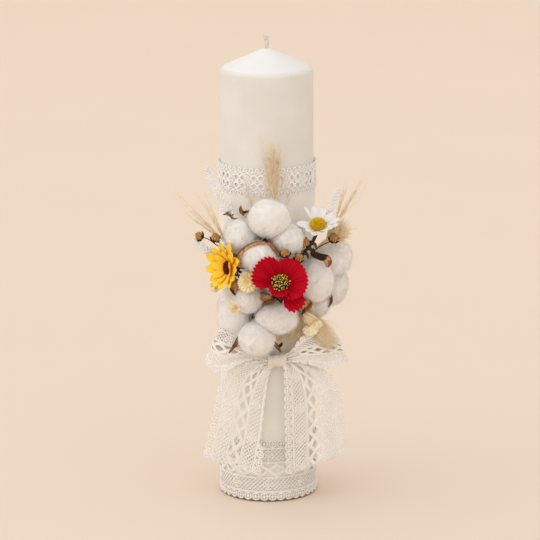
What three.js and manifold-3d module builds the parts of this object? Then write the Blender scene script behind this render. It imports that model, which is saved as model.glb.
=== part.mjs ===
// A unity candle: a pillar candle in a fabric sleeve, with lace bands, a lace bow and a bouquet
// of cotton bolls, fabric flowers and dried grasses glued to its front.
// Millimetres. +Z is up, -Y is the front of the candle, and the origin is the middle of its base.
import * as THREE from 'three';
import { mergeVertices } from 'three/addons/utils/BufferGeometryUtils.js';
import Module from 'manifold-3d';

const wasm = await Module();
wasm.setup();

// ---- driving dimensions -------------------------------------------------------------------
const CANDLE_RADIUS = 35;
const SHOULDER_HEIGHT = 330.2;
const CANDLE_HEIGHT = 346;
const SHOULDER_ROUNDING = 1.5;
const WICK_RADIUS = 1.5;
const WICK_TOP = 353.6;
const WICK_BOTTOM = 12;
const GAP = 0.3;
const CLEARANCE = 0.28;
const CLOTH = 1.1;
const ROUND_SEGMENTS = 40;

const WRAP_RADIUS = CANDLE_RADIUS + GAP;
const WRAP_TOP = 257.6;
const BAND_RADIUS = WRAP_RADIUS + CLOTH + GAP;
const BAND_OUTER = BAND_RADIUS + CLOTH;
const BASE_BAND = [GAP, 48.6];
const TOP_BAND = [238.8, 260.6];
const TIE_BAND = [108, 118];
const PAD_RADIUS = BAND_RADIUS + 2.5;
const PAD = { bottom: 128, top: 226, halfAngle: 0.62, turn: 0.1 };
const STEM_RADIUS = 0.9;
const THIN_STEM_RADIUS = 0.7;

// ---- colours and finishes --------------------------------------------------------------------
const FINISHES = {
  wax: [0xf3ece0, 0.45],
  wick: [0xb9a88c, 0.9],
  fabric: [0xe9dfd0, 0.85],
  lace: [0xf4efe6, 0.9],
  satin: [0xefe6d8, 0.5],
  glue: [0xe8dcc0, 0.4],
  cotton: [0xf1ebe3, 1.0],
  burr: [0x8a5a30, 0.8],
  sunflower: [0xffc21c, 0.7],
  sunflowerDisc: [0x4a1410, 0.9],
  poppy: [0xb80d18, 0.7],
  poppyCentre: [0xd8a020, 0.8],
  daisy: [0xf7f4ef, 0.7],
  daisyDisc: [0xe6b414, 0.9],
  leafGreen: [0x4d4a2a, 0.8],
  pod: [0xa9772f, 0.7],
  straw: [0xe3c98e, 0.85],
  pampas: [0xd9bd86, 0.95],
  fern: [0xf2ece2, 0.8],
};

const candle = new THREE.Group();
candle.name = 'unity_candle';
const placed = [];

function material(finish) {
  const [color, roughness] = FINISHES[finish];
  return new THREE.MeshStandardMaterial({ color, roughness, metalness: 0 });
}

// ---- solids from three.js geometry -----------------------------------------------------------
function toSolid(geometry) {
  const bare = geometry.clone();
  bare.deleteAttribute('normal');
  bare.deleteAttribute('uv');
  const merged = mergeVertices(bare, 1e-4);
  const corners = merged.index.array;
  const triangles = [];
  for (let i = 0; i < corners.length; i += 3) {
    const [a, b, c] = [corners[i], corners[i + 1], corners[i + 2]];
    if (a !== b && b !== c && c !== a) triangles.push(a, b, c);
  }
  return new wasm.Manifold(new wasm.Mesh({
    numProp: 3,
    vertProperties: new Float32Array(merged.attributes.position.array),
    triVerts: new Uint32Array(triangles),
  }));
}

function toGeometry(solid) {
  const mesh = solid.getMesh();
  const geometry = new THREE.BufferGeometry();
  geometry.setAttribute('position', new THREE.BufferAttribute(new Float32Array(mesh.vertProperties), 3));
  geometry.setIndex(new THREE.BufferAttribute(new Uint32Array(mesh.triVerts), 1));
  geometry.computeVertexNormals();
  return geometry;
}

function largestBody(solid) {
  return solid.decompose().reduce((best, body) => (body.volume() > best.volume() ? body : best));
}

function overlaps(a, b) {
  const [p, q] = [a.boundingBox(), b.boundingBox()];
  return [0, 1, 2].every((k) => p.min[k] < q.max[k] && q.min[k] < p.max[k]);
}

// Adds one named piece. build(grow) gives its solid, made larger all round by grow. The piece
// gives way to every piece placed before it, and leaves the gap between them.
function place(name, finish, build) {
  let solid = build(0);
  for (const earlier of placed) {
    if (overlaps(solid, earlier)) solid = solid.subtract(earlier);
  }
  const mesh = new THREE.Mesh(toGeometry(largestBody(solid)), material(finish));
  mesh.name = name;
  candle.add(mesh);
  placed.push(build(CLEARANCE));
}

function join(...solids) {
  return solids.reduce((sum, solid) => sum.add(solid));
}

// ---- shape helpers ---------------------------------------------------------------------------
function revolve(profile, segments = ROUND_SEGMENTS) {
  const geometry = new THREE.LatheGeometry(profile.map(([r, z]) => new THREE.Vector2(r, z)), segments);
  geometry.rotateX(Math.PI / 2);
  return geometry;
}

function sleeve(inner, outer, bottom, top) {
  const section = [[inner, bottom], [outer, bottom], [outer, top], [inner, top], [inner, bottom]];
  return toSolid(revolve(section));
}

function ellipsoid(centre, halfSizes, tilt = 0, grow = 0, around = 12, down = 7) {
  const geometry = new THREE.SphereGeometry(1, around, down);
  geometry.rotateX(Math.PI / 2);
  geometry.scale(...halfSizes.map((size) => size + grow));
  geometry.rotateY(tilt);
  geometry.translate(...centre);
  return toSolid(geometry);
}

// Turns a shape made round +Z to face along a direction, and moves it to a place.
function aim(geometry, direction, position) {
  const toward = new THREE.Vector3(...direction).normalize();
  geometry.applyQuaternion(new THREE.Quaternion().setFromUnitVectors(new THREE.Vector3(0, 0, 1), toward));
  geometry.translate(...position);
  return geometry;
}

function stem(points, radius) {
  const route = new THREE.CatmullRomCurve3(points.map((p) => new THREE.Vector3(...p)));
  const section = new THREE.Shape();
  section.absarc(0, 0, radius, 0, Math.PI * 2);
  const options = { steps: 2 * (points.length - 1), curveSegments: 3, extrudePath: route };
  return toSolid(new THREE.ExtrudeGeometry(section, options));
}

// A tapered plume round the line from foot to tip, widest at a share of its length.
function plume(foot, tip, radius, widestAt, grow) {
  const along = new THREE.Vector3(...tip).sub(new THREE.Vector3(...foot));
  const length = along.length();
  const profile = [[0, -grow], [1 + grow, -grow], [radius + grow, length * widestAt],
    [radius * 0.6 + grow, length * 0.85], [0, length + grow]];
  return toSolid(aim(revolve(profile, 8), along.toArray(), foot));
}

function starShape(lobes, innerRadius, outerRadius) {
  const shape = new THREE.Shape();
  const step = Math.PI / lobes;
  for (let i = 0; i < 2 * lobes; i++) {
    const radius = i % 2 ? innerRadius : outerRadius;
    const spread = i % 2 ? 0 : step * 0.45;
    for (const angle of spread ? [i * step - spread, i * step + spread] : [i * step]) {
      const point = [radius * Math.cos(angle), radius * Math.sin(angle)];
      if (shape.curves.length || shape.currentPoint.lengthSq()) shape.lineTo(...point);
      else shape.moveTo(...point);
    }
  }
  shape.closePath();
  return shape;
}

// A ring of petals: a shallow cone cut to a star outline, facing along a direction.
function petalDish(flower, grow) {
  const { radius, lobes, notch, flare, facing, centre } = flower;
  const rise = radius * Math.tan(flare);
  const thick = 1 + grow;
  const hole = flower.hole - grow;
  const floor = hole * Math.tan(flare);
  const cone = toSolid(revolve([[hole, floor - grow], [radius * 1.1, rise * 1.1 - grow],
    [radius * 1.1, rise * 1.1 + thick], [hole, floor + thick], [hole, floor - grow]], 28));
  const prism = new THREE.ExtrudeGeometry(starShape(lobes, radius * notch + grow, radius + grow),
    { depth: rise * 2 + 10, bevelEnabled: false });
  prism.translate(0, 0, -5);
  const petals = cone.intersect(toSolid(prism));
  return toSolid(aim(toGeometry(petals), facing, centre));
}

function dome(centre, facing, radius, height, foot, grow) {
  const profile = [[0, foot - grow], [radius + grow, foot - grow], [radius + grow, foot + height * 0.4],
    [radius * 0.6 + grow, foot + height], [0, foot + height + grow]];
  return toSolid(aim(revolve(profile, 12), facing, centre));
}

// The green cup behind a flower head, with its stem back into the bouquet.
function calyx(flower, grow) {
  const profile = [[0, -flower.cup - grow], [STEM_RADIUS + grow, -flower.cup - grow],
    [flower.cupRadius + grow, -GAP + grow], [0, -GAP + grow]];
  const cup = toSolid(aim(revolve(profile, 9), flower.facing, flower.centre));
  return join(cup, stem(flower.stem, STEM_RADIUS + grow));
}

function offset(point, direction, distance) {
  const move = new THREE.Vector3(...direction).normalize().multiplyScalar(distance);
  return new THREE.Vector3(...point).add(move).toArray();
}

// A sheet standing upright along a plan line, cut to an outline seen from the front.
function uprightSheet(plan, outline, grow) {
  const half = CLOTH / 2 + grow;
  const line = new THREE.CatmullRomCurve3(plan.map(([x, y]) => new THREE.Vector3(x, y, 0)));
  const steps = 8;
  const near = [];
  const far = [];
  for (let i = 0; i <= steps; i++) {
    const point = line.getPointAt(i / steps);
    const side = line.getTangentAt(i / steps);
    near.push(new THREE.Vector2(point.x + side.y * half, point.y - side.x * half));
    far.unshift(new THREE.Vector2(point.x - side.y * half, point.y + side.x * half));
  }
  const wall = new THREE.ExtrudeGeometry(new THREE.Shape([...near, ...far]), { depth: 160, bevelEnabled: false });
  return toSolid(wall).intersect(frontPrism(outline));
}

// A prism through the whole depth of the object, with a smooth outline seen from the front.
function frontPrism(outline) {
  const line = new THREE.CatmullRomCurve3(outline.map(([x, z]) => new THREE.Vector3(x, z, 0)), true,
    'catmullrom', 0.3);
  const points = line.getPoints(Math.round(outline.length * 1.6)).slice(0, -1);
  const shape = new THREE.Shape(points.map((point) => new THREE.Vector2(point.x, point.y)));
  const prism = new THREE.ExtrudeGeometry(shape, { depth: 140, bevelEnabled: false });
  prism.rotateX(Math.PI / 2);
  prism.translate(0, 20, 0);
  return toSolid(prism);
}

// ---- the candle ------------------------------------------------------------------------------
function candleBody(grow) {
  const bore = WICK_RADIUS + GAP - grow;
  const slope = (CANDLE_HEIGHT - SHOULDER_HEIGHT) / CANDLE_RADIUS;
  const radius = CANDLE_RADIUS + grow;
  return toSolid(revolve([[0, -grow], [radius, -grow], [radius, SHOULDER_HEIGHT - SHOULDER_ROUNDING],
    [radius - SHOULDER_ROUNDING, SHOULDER_HEIGHT + SHOULDER_ROUNDING * slope + grow],
    [bore, CANDLE_HEIGHT - bore * slope + grow], [bore, WICK_BOTTOM + grow], [0, WICK_BOTTOM + grow]]));
}

function wick(grow) {
  const radius = WICK_RADIUS + grow;
  return toSolid(revolve([[0, WICK_BOTTOM + GAP - grow], [radius, WICK_BOTTOM + GAP - grow],
    [radius, WICK_TOP - 2], [radius * 0.7, WICK_TOP + grow], [0, WICK_TOP + grow]], 12));
}

function gluePad(grow) {
  const ring = sleeve(BAND_RADIUS - grow, PAD_RADIUS + grow, PAD.bottom - grow, PAD.top + grow);
  const wedge = new THREE.Shape();
  const spread = PAD.halfAngle + grow / PAD_RADIUS;
  wedge.moveTo(0, 0);
  for (let i = 0; i <= 6; i++) {
    const angle = -Math.PI / 2 + PAD.turn - spread + (2 * spread * i) / 6;
    wedge.lineTo(60 * Math.cos(angle), 60 * Math.sin(angle));
  }
  wedge.closePath();
  const cutter = new THREE.ExtrudeGeometry(wedge, { depth: 300, bevelEnabled: false });
  return ring.intersect(toSolid(cutter));
}

place('candle_body', 'wax', candleBody);
place('wick', 'wick', wick);
place('fabric_wrap', 'fabric', (grow) => sleeve(WRAP_RADIUS - grow, WRAP_RADIUS + CLOTH + grow, GAP - grow,
  WRAP_TOP + grow));
place('base_lace_band', 'lace', (grow) => sleeve(BAND_RADIUS - grow, BAND_OUTER + grow, BASE_BAND[0] - grow,
  BASE_BAND[1] + grow));
place('top_lace_band', 'lace', (grow) => sleeve(BAND_RADIUS - grow, BAND_OUTER + grow, TOP_BAND[0] - grow,
  TOP_BAND[1] + grow));
place('ribbon_tie', 'satin', (grow) => sleeve(BAND_RADIUS - grow, BAND_OUTER + grow, TIE_BAND[0] - grow,
  TIE_BAND[1] + grow));

// ---- the bow ---------------------------------------------------------------------------------
const KNOT = [7.1, -43, 113.4];
const KNOT_HALF = [8, 3.6, 5.6];
const LEFT_LOOP = {
  plan: [[1, -42.2], [-12, -39.6], [-32, -36.5], [-46.5, -40], [-44, -45.5], [-28, -49], [-12, -47], [1, -44]],
  outline: [[3, 109], [-12, 109.5], [-24, 106], [-36, 102.5], [-50, 114], [-45, 131], [-34, 141], [-20, 128],
    [-8, 121], [3, 118]],
};
const RIGHT_LOOP = {
  plan: [[13, -42], [26, -38.5], [44, -28], [58.5, -26], [59.5, -32], [46, -41], [28, -47], [13, -44]],
  outline: [[11, 109], [30, 107], [46, 104.5], [62, 110], [57, 124], [50, 131], [34, 136], [24, 130],
    [19, 122], [11, 118]],
};
const LEFT_TAIL = {
  plan: [[3, -44.5], [-12, -44], [-30, -45.5], [-52, -43]],
  outline: [[1, 111], [-10, 116], [-24, 108], [-36, 99], [-42, 70], [-50.5, 39], [-36, 31], [-10, 23.5],
    [-4, 55], [-1, 85]],
};
const RIGHT_TAIL = {
  plan: [[10, -44], [28, -47], [44, -41], [60.5, -30]],
  outline: [[11, 111], [24, 110], [40, 106], [55, 93], [58, 60], [59, 37], [38, 31], [12.5, 24], [12, 80]],
};

place('bow_knot', 'satin', (grow) => ellipsoid(KNOT, KNOT_HALF, 0, grow, 10, 7));
place('bow_left_loop', 'lace', (grow) => uprightSheet(LEFT_LOOP.plan, LEFT_LOOP.outline, grow));
place('bow_right_loop', 'lace', (grow) => uprightSheet(RIGHT_LOOP.plan, RIGHT_LOOP.outline, grow));
place('bow_left_tail', 'lace', (grow) => uprightSheet(LEFT_TAIL.plan, LEFT_TAIL.outline, grow));
place('bow_right_tail', 'lace', (grow) => uprightSheet(RIGHT_TAIL.plan, RIGHT_TAIL.outline, grow));

// ---- the fabric flowers ----------------------------------------------------------------------
const SUNFLOWER = {
  centre: [-27.8, -53.2, 187.9], facing: [-0.87, -0.47, 0.13], radius: 18.3, lobes: 13, notch: 0.72,
  flare: 0.36, hole: 3, cup: 6, cupRadius: 6, stem: [[-23, -50.5, 187], [-18, -44.5, 185.5], [-14, -39.8, 184]],
};
const POPPY = {
  centre: [9.4, -70, 178], facing: [0.02, -0.74, 0.67], radius: 21.5, lobes: 16, notch: 0.92,
  flare: 0.4, hole: 3.5, cup: 7, cupRadius: 5.5, stem: [[9.2, -65, 173.5], [6, -54, 165], [2, -44, 163],
    [0, -40, 163]],
};
const DAISY = {
  centre: [37.7, -47, 217.5], facing: [0.02, -0.6, 0.8], radius: 17, lobes: 11, notch: 0.7,
  flare: 0.22, hole: 3, cup: 3.5, cupRadius: 3, stem: [[37.4, -45.5, 214.5], [34, -41, 205], [27, -39.5, 196],
    [19, -38, 190]],
};

place('sunflower_petals', 'sunflower', (grow) => petalDish(SUNFLOWER, grow));
place('sunflower_disc', 'sunflowerDisc', (grow) => dome(SUNFLOWER.centre, SUNFLOWER.facing, 5.2, 2, 2.9, grow));
place('poppy_petals', 'poppy', (grow) => petalDish(POPPY, grow));
place('poppy_centre', 'poppyCentre', (grow) => dome(POPPY.centre, POPPY.facing, 7.5, 4, 4.6, grow));
place('daisy_petals', 'daisy', (grow) => petalDish(DAISY, grow));
place('daisy_disc', 'daisyDisc', (grow) => dome(DAISY.centre, DAISY.facing, 6.2, 4, 2.8, grow));
place('sunflower_calyx', 'leafGreen', (grow) => calyx(SUNFLOWER, grow));
place('poppy_calyx', 'leafGreen', (grow) => calyx(POPPY, grow));
place('daisy_stem', 'leafGreen', (grow) => calyx(DAISY, grow));

// ---- flax pods and straw flowers ---------------------------------------------------------------
const POD_RADIUS = 3.4;
const PODS = {
  flax_pod_upper: { head: [28.1, -52, 206.5], foot: [[27, -48, 201], [23, -42, 195], [20, -39.5, 190]] },
  flax_pod_inner: { head: [13.2, -66, 202], foot: [[13, -62, 197], [13, -52, 189], [12, -40, 186]] },
  flax_pod_outer: { head: [23.4, -60, 197], foot: [[22.5, -56.5, 192.5], [20, -48, 186], [17, -39.5, 183]] },
  flax_pod_right: { head: [49.7, -38, 206.5], foot: [[46, -38.5, 204.5], [40, -39.5, 201], [33, -40, 196]] },
};
const LEFT_SPRIG = {
  heads: [[-51.1, -38, 208.5], [-38.6, -43, 208.5]],
  stems: [[[-49, -38.6, 207.5], [-38, -41.5, 202.5], [-30, -42, 199], [-21, -36, 192]],
    [[-38.6, -43, 207], [-36, -42.4, 204.5], [-32, -42, 200.5]]],
};
const STRAW = {
  straw_flower_pleated: { centre: [-14.4, -66, 179.4], facing: [-0.2, -0.95, 0.2], radius: 6.7,
    stem: [[-13.5, -63, 178.8], [-9, -52, 178], [-7, -40, 178]] },
  straw_flower_button: { centre: [-40.3, -47, 170.8], facing: [-0.6, -0.8, 0.1], radius: 3.5,
    stem: [[-38.6, -44.8, 170.9], [-31, -38, 172], [-25, -32, 173]] },
  straw_flower_rosette: { centre: [-23.4, -56, 158.2], facing: [-0.3, -0.95, 0], radius: 3.6,
    stem: [[-22.8, -53.5, 159], [-26, -50, 169], [-24, -44, 178], [-21, -36, 182]] },
  straw_flower_low: { centre: [32.8, -45, 137.5], facing: [0.1, -0.98, -0.1], radius: 5.6,
    stem: [[32.4, -42.5, 138.5], [29, -40, 146], [25, -34, 152]] },
  straw_flower_high: { centre: [38, -42, 144], facing: [0.5, -0.85, 0.1], radius: 4.1,
    stem: [[36.3, -39.6, 144.4], [31, -38, 148.5], [26, -33.5, 155]] },
};

function podWithStem(pod, grow) {
  const head = ellipsoid(pod.head, [POD_RADIUS, POD_RADIUS, POD_RADIUS], 0, grow, 8, 5);
  return join(head, stem([pod.head, ...pod.foot], THIN_STEM_RADIUS + grow));
}

function leftSprig(grow) {
  const heads = LEFT_SPRIG.heads.map((head) => ellipsoid(head, [POD_RADIUS, POD_RADIUS, POD_RADIUS], 0, grow, 8, 5));
  return join(...heads, ...LEFT_SPRIG.stems.map((route) => stem(route, THIN_STEM_RADIUS + grow)));
}

function strawFlower(flower, grow) {
  const head = dome(flower.centre, flower.facing, flower.radius, flower.radius * 0.7, -1.5, grow);
  return join(head, stem([flower.centre, ...flower.stem], THIN_STEM_RADIUS + grow));
}

for (const [name, pod] of Object.entries(PODS)) place(name, 'pod', (grow) => podWithStem(pod, grow));
place('flax_sprig_left', 'pod', leftSprig);
for (const [name, flower] of Object.entries(STRAW)) place(name, 'straw', (grow) => strawFlower(flower, grow));

// ---- cotton bolls ------------------------------------------------------------------------------
// Each lock of cotton is an egg of fluff: its middle, its half sizes, and its lean to the right.
const LOCKS = {
  cotton_lock_front: [[-5.5, -60, 196], [14.2, 11, 12.2], 0],
  cotton_lock_top: [[1.4, -51, 224.6], [15.8, 14, 14.3], 0.1],
  cotton_lock_upper_left: [[-19.6, -43.5, 209.6], [12.8, 12.5, 14], 0],
  cotton_lock_upper_right: [[15.4, -49, 208.4], [13, 12, 13], 0],
  cotton_lock_right_front: [[36.4, -37, 173.8], [13.6, 13, 17], 0.1],
  cotton_lock_right_top: [[49.3, -19, 187.2], [14.4, 14, 14], 0.2],
  cotton_lock_right_back: [[48.2, -12, 165.5], [12.5, 12, 15.5], 0.1],
  cotton_lock_right_low: [[36, -26, 153.5], [10.8, 11, 10.8], 0],
  cotton_lock_bottom: [[-8, -54, 133.5], [15.2, 13, 13], 0.1],
  cotton_lock_low_right: [[7, -52, 148], [16, 12.5, 11.8], -0.1],
  cotton_lock_low_middle: [[-14.6, -50, 164.4], [11.5, 11.5, 12.6], 0],
  cotton_lock_low_left: [[-24.5, -37, 148.5], [13.4, 12.5, 22.8], 0],
  cotton_lock_hidden: [[12, -51, 176], [14, 10.5, 14], 0],
};
for (const [name, [centre, half, lean]] of Object.entries(LOCKS)) {
  place(name, 'cotton', (grow) => ellipsoid(centre, half, lean, grow));
}

// The dried burr behind each boll is a star of pointed bracts on a short stalk.
const BURRS = {
  boll_burr_upper: { centre: [-2, -41.6, 211], facing: [0, -0.97, 0.25], radius: 25, lobes: 5, turn: 0.35 },
  boll_burr_lower: { centre: [-9, -41.4, 149], facing: [-0.1, -1, -0.05], radius: 27, lobes: 5, turn: 0.65 },
  boll_burr_right: { centre: [35.5, -21, 172], facing: [0.86, -0.5, 0.02], radius: 25, lobes: 4, turn: 0.5 },
};

function burrStar(burr, grow) {
  const depth = 1.4 + 2 * grow;
  const star = new THREE.ExtrudeGeometry(starShape(burr.lobes, burr.radius * 0.4 + grow, burr.radius + grow),
    { depth, bevelEnabled: false });
  star.rotateZ(burr.turn);
  star.translate(0, 0, -depth / 2);
  return toSolid(aim(star, burr.facing, burr.centre));
}

function burrCup(grow) {
  const profile = [[0, -14 - grow], [8 + grow, -13 - grow], [15.4 + grow, 1], [14.6 - grow, 1], [7, -12 + grow],
    [0, -13 + grow]];
  const cup = revolve(profile, 14);
  cup.scale(1, 0.88, 1);
  return toSolid(aim(cup, [0, -1, 0.05], [-5.5, -60, 196]));
}

place('boll_burr_middle', 'burr', burrCup);
for (const [name, burr] of Object.entries(BURRS)) place(name, 'burr', (grow) => burrStar(burr, grow));

// ---- grasses, ferns and the leaf ------------------------------------------------------------------
const PLUMES = {
  pampas_centre: { foot: [4.4, -42, 232], tip: [0.5, -44, 284], radius: 6.5, widestAt: 0.5,
    stem: [[4.4, -42, 233], [4.6, -40.2, 226], [4.6, -39.6, 212]] },
  pampas_left: { foot: [-31.9, -40, 202], tip: [-61, -42, 246], radius: 8.5, widestAt: 0.72,
    stem: [[-31.9, -40, 203], [-28, -36.5, 197], [-22, -35, 190]] },
  pampas_right: { foot: [54.6, -26, 219], tip: [68.5, -25, 254], radius: 6.5, widestAt: 0.6,
    stem: [[54.6, -26, 220], [50, -28, 208], [40, -26, 200], [28, -30, 196]] },
  bunny_tail_lower: { foot: [31, -36, 146], tip: [54, -38, 117], radius: 7, widestAt: 0.45,
    stem: [[31, -36, 146], [27, -31.5, 150], [24, -31.5, 156]] },
  bunny_tail_upper: { foot: [46, -31, 201], tip: [66, -31, 220], radius: 6, widestAt: 0.45,
    stem: [[46, -31, 201], [38, -30, 196], [28, -28.5, 190]] },
};
const FERNS = {
  fern_left: { foot: [-24, -38, 221], tip: [-46.5, -42, 264], width: 9, stem: [[-24, -38, 222], [-20, -34.5, 212]] },
  fern_right: { foot: [46, -36, 224], tip: [53, -36, 245], width: 6, stem: [[46, -36, 225], [42, -34, 212]] },
  fern_low_left: { foot: [-41, -38, 194], tip: [-56, -39, 211], width: 7, stem: [[-41, -38, 194.5], [-30, -34.5, 188]] },
};
const LEAF = { foot: [-12, -39.5, 226], tip: [-26, -41, 250], width: 13, stem: [[-12, -39.5, 227], [-10, -39, 222]] };

function grass(item, grow) {
  const head = plume(item.foot, item.tip, item.radius, item.widestAt, grow);
  return join(head, stem(item.stem, THIN_STEM_RADIUS + grow));
}

function blade(item, grow) {
  const along = new THREE.Vector3(...item.tip).sub(new THREE.Vector3(...item.foot));
  const [length, half, depth] = [along.length(), item.width / 2 + grow, 1 + 2 * grow];
  const outline = new THREE.Shape();
  outline.moveTo(-1 - grow, -grow);
  outline.lineTo(1 + grow, -grow);
  outline.quadraticCurveTo(half * 1.7, length * 0.45, 0, length + grow);
  outline.quadraticCurveTo(-half * 1.7, length * 0.45, -1 - grow, -grow);
  const geometry = new THREE.ExtrudeGeometry(outline, { depth, bevelEnabled: false, curveSegments: 5 });
  geometry.translate(0, 0, -depth / 2);
  geometry.rotateX(Math.PI / 2);
  return join(toSolid(aim(geometry, along.toArray(), item.foot)), stem(item.stem, THIN_STEM_RADIUS + grow));
}

for (const [name, item] of Object.entries(PLUMES)) place(name, 'pampas', (grow) => grass(item, grow));
for (const [name, item] of Object.entries(FERNS)) place(name, 'fern', (grow) => blade(item, grow));
place('pale_leaf', 'fern', (grow) => blade(LEAF, grow));
place('glue_pad', 'glue', gluePad);

export default candle;
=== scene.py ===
import math
import zlib

import bmesh
import bpy
import numpy as np
from mathutils import Matrix, Vector, noise


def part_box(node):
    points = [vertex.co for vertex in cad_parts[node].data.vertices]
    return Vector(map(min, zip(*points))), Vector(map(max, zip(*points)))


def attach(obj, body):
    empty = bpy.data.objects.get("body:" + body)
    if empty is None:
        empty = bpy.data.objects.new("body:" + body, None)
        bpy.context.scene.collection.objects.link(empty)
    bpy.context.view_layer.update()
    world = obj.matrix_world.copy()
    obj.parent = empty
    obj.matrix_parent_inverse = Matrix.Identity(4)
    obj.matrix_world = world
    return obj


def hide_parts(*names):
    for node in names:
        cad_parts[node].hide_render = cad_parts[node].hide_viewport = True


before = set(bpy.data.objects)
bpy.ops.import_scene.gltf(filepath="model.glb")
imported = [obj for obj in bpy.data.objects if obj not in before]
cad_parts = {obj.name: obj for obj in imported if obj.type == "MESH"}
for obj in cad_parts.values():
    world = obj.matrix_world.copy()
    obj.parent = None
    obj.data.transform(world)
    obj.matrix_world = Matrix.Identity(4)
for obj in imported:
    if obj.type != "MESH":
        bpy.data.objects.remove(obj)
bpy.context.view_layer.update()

# Shapes are worked out in millimetres in the frame's axes: +Z up, -Y the front, +X to the right.
MM = 0.001
UP = np.array([0.0, 0.0, 1.0])
FRONT = np.array([0.0, -1.0, 0.0])


# ---- the frame's own sizes -----------------------------------------------------------------------
def corners(node):
    """The lowest and highest corner of a CAD node, in millimetres."""
    low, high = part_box(node)
    return np.array(low) / MM, np.array(high) / MM


def middle(node):
    low, high = corners(node)
    return (low + high) / 2


def half_size(node):
    low, high = corners(node)
    return (high - low) / 2


CANDLE_RADIUS = half_size("candle_body")[0]
WRAP_RADIUS = half_size("fabric_wrap")[0]
# The turn from one seed to the next in a flower head's spiral, in radians.
SEED_TURN = 2.39996


# ---- gathering a mesh ----------------------------------------------------------------------------
class Bag:
    """Points and faces of one piece, gathered before they become a mesh."""

    def __init__(self):
        self.points = []
        self.faces = []
        self.along = []
        self.tone = []
        self.count = 0

    def add(self, points, faces, along=0.0, tone=0.5):
        """along runs 0 to 1 from a part's root to its tip; tone is a shade of the part's own."""
        points = np.asarray(points, float).reshape(-1, 3)
        self.points.append(points)
        self.faces.extend([[k + self.count for k in face] for face in faces])
        self.along.append(np.broadcast_to(along, len(points)).astype(np.float32))
        self.tone.append(np.broadcast_to(tone, len(points)).astype(np.float32))
        self.count += len(points)

    def piece(self, name, material, slot, *nodes):
        mesh = bpy.data.meshes.new(name)
        mesh.from_pydata((np.concatenate(self.points) * MM).tolist(), [], self.faces)
        for label, parts in (("along", self.along), ("tone", self.tone)):
            attribute = mesh.attributes.new(label, "FLOAT", "POINT")
            attribute.data.foreach_set("value", np.concatenate(parts))
        mesh.polygons.foreach_set("use_smooth", [True] * len(mesh.polygons))
        mesh.materials.append(material)
        piece = bpy.data.objects.new(name, mesh)
        bpy.context.scene.collection.objects.link(piece)
        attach(piece, "root")
        if nodes:
            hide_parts(*nodes)
        return piece


def random_for(name):
    return np.random.default_rng(zlib.crc32(name.encode()))


def unit(vectors):
    length = np.linalg.norm(vectors, axis=-1, keepdims=True)
    return vectors / np.maximum(length, 1e-9)


def spline(points, s):
    """Points on one smooth curve through the given ones, for s from 0 to 1."""
    points = np.asarray(points, float)
    steps = np.linalg.norm(np.diff(points, axis=0), axis=1)
    place = np.concatenate([[0], np.cumsum(steps)]) / steps.sum()
    slope = np.gradient(points, place, axis=0)
    s = np.asarray(s, float)
    i = np.clip(np.searchsorted(place, s, side="right") - 1, 0, len(points) - 2)
    span = (place[i + 1] - place[i])[..., None]
    t = (s - place[i])[..., None] / span
    return ((2 * t**3 - 3 * t**2 + 1) * points[i] + (t**3 - 2 * t**2 + t) * span * slope[i]
            + (3 * t**2 - 2 * t**3) * points[i + 1] + (t**3 - t**2) * span * slope[i + 1])


def smoothstep(x):
    x = np.clip(x, 0, 1)
    return x * x * (3 - 2 * x)


def spin(turn):
    """The matrix that turns rows of points round +Z."""
    return np.array([[math.cos(turn), math.sin(turn), 0], [-math.sin(turn), math.cos(turn), 0], [0, 0, 1]])


# ---- building blocks -----------------------------------------------------------------------------
def grid_faces(rows, columns, first, close_rows, flip=False):
    faces = []
    for i in range(rows if close_rows else rows - 1):
        below = first + i * columns
        above = first + ((i + 1) % rows) * columns
        for j in range(columns - 1):
            face = [below + j, above + j, above + j + 1, below + j + 1]
            faces.append(face[::-1] if flip else face)
    return faces


def sheet_of(bag, grid, thick, close_rows=False, along=None, tone=0.5):
    """A closed thin solid either side of a grid of points, rows by columns."""
    rows, columns, _ = grid.shape
    if close_rows:
        padded = np.concatenate([grid[-1:], grid, grid[:1]])
        across = np.gradient(padded, axis=0)[1:-1]
    else:
        across = np.gradient(grid, axis=0)
    normal = unit(np.cross(across, np.gradient(grid, axis=1)))
    points = np.concatenate([(grid + normal * thick / 2).reshape(-1, 3),
                             (grid - normal * thick / 2).reshape(-1, 3)])
    n = rows * columns
    faces = grid_faces(rows, columns, 0, close_rows)
    faces += grid_faces(rows, columns, n, close_rows, flip=True)
    for i in range(rows if close_rows else rows - 1):
        a, b = i * columns, ((i + 1) % rows) * columns
        faces.append([b, a, a + n, b + n])
        faces.append([a + columns - 1, b + columns - 1, b + columns - 1 + n, a + columns - 1 + n])
    if not close_rows:
        last = (rows - 1) * columns
        for j in range(columns - 1):
            faces.append([j, j + 1, j + 1 + n, j + n])
            faces.append([last + j + 1, last + j, last + j + n, last + j + 1 + n])
    if along is None:
        along = np.repeat(np.linspace(0, 1, rows), columns)
    bag.add(points, faces, np.tile(along, 2), tone)


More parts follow.
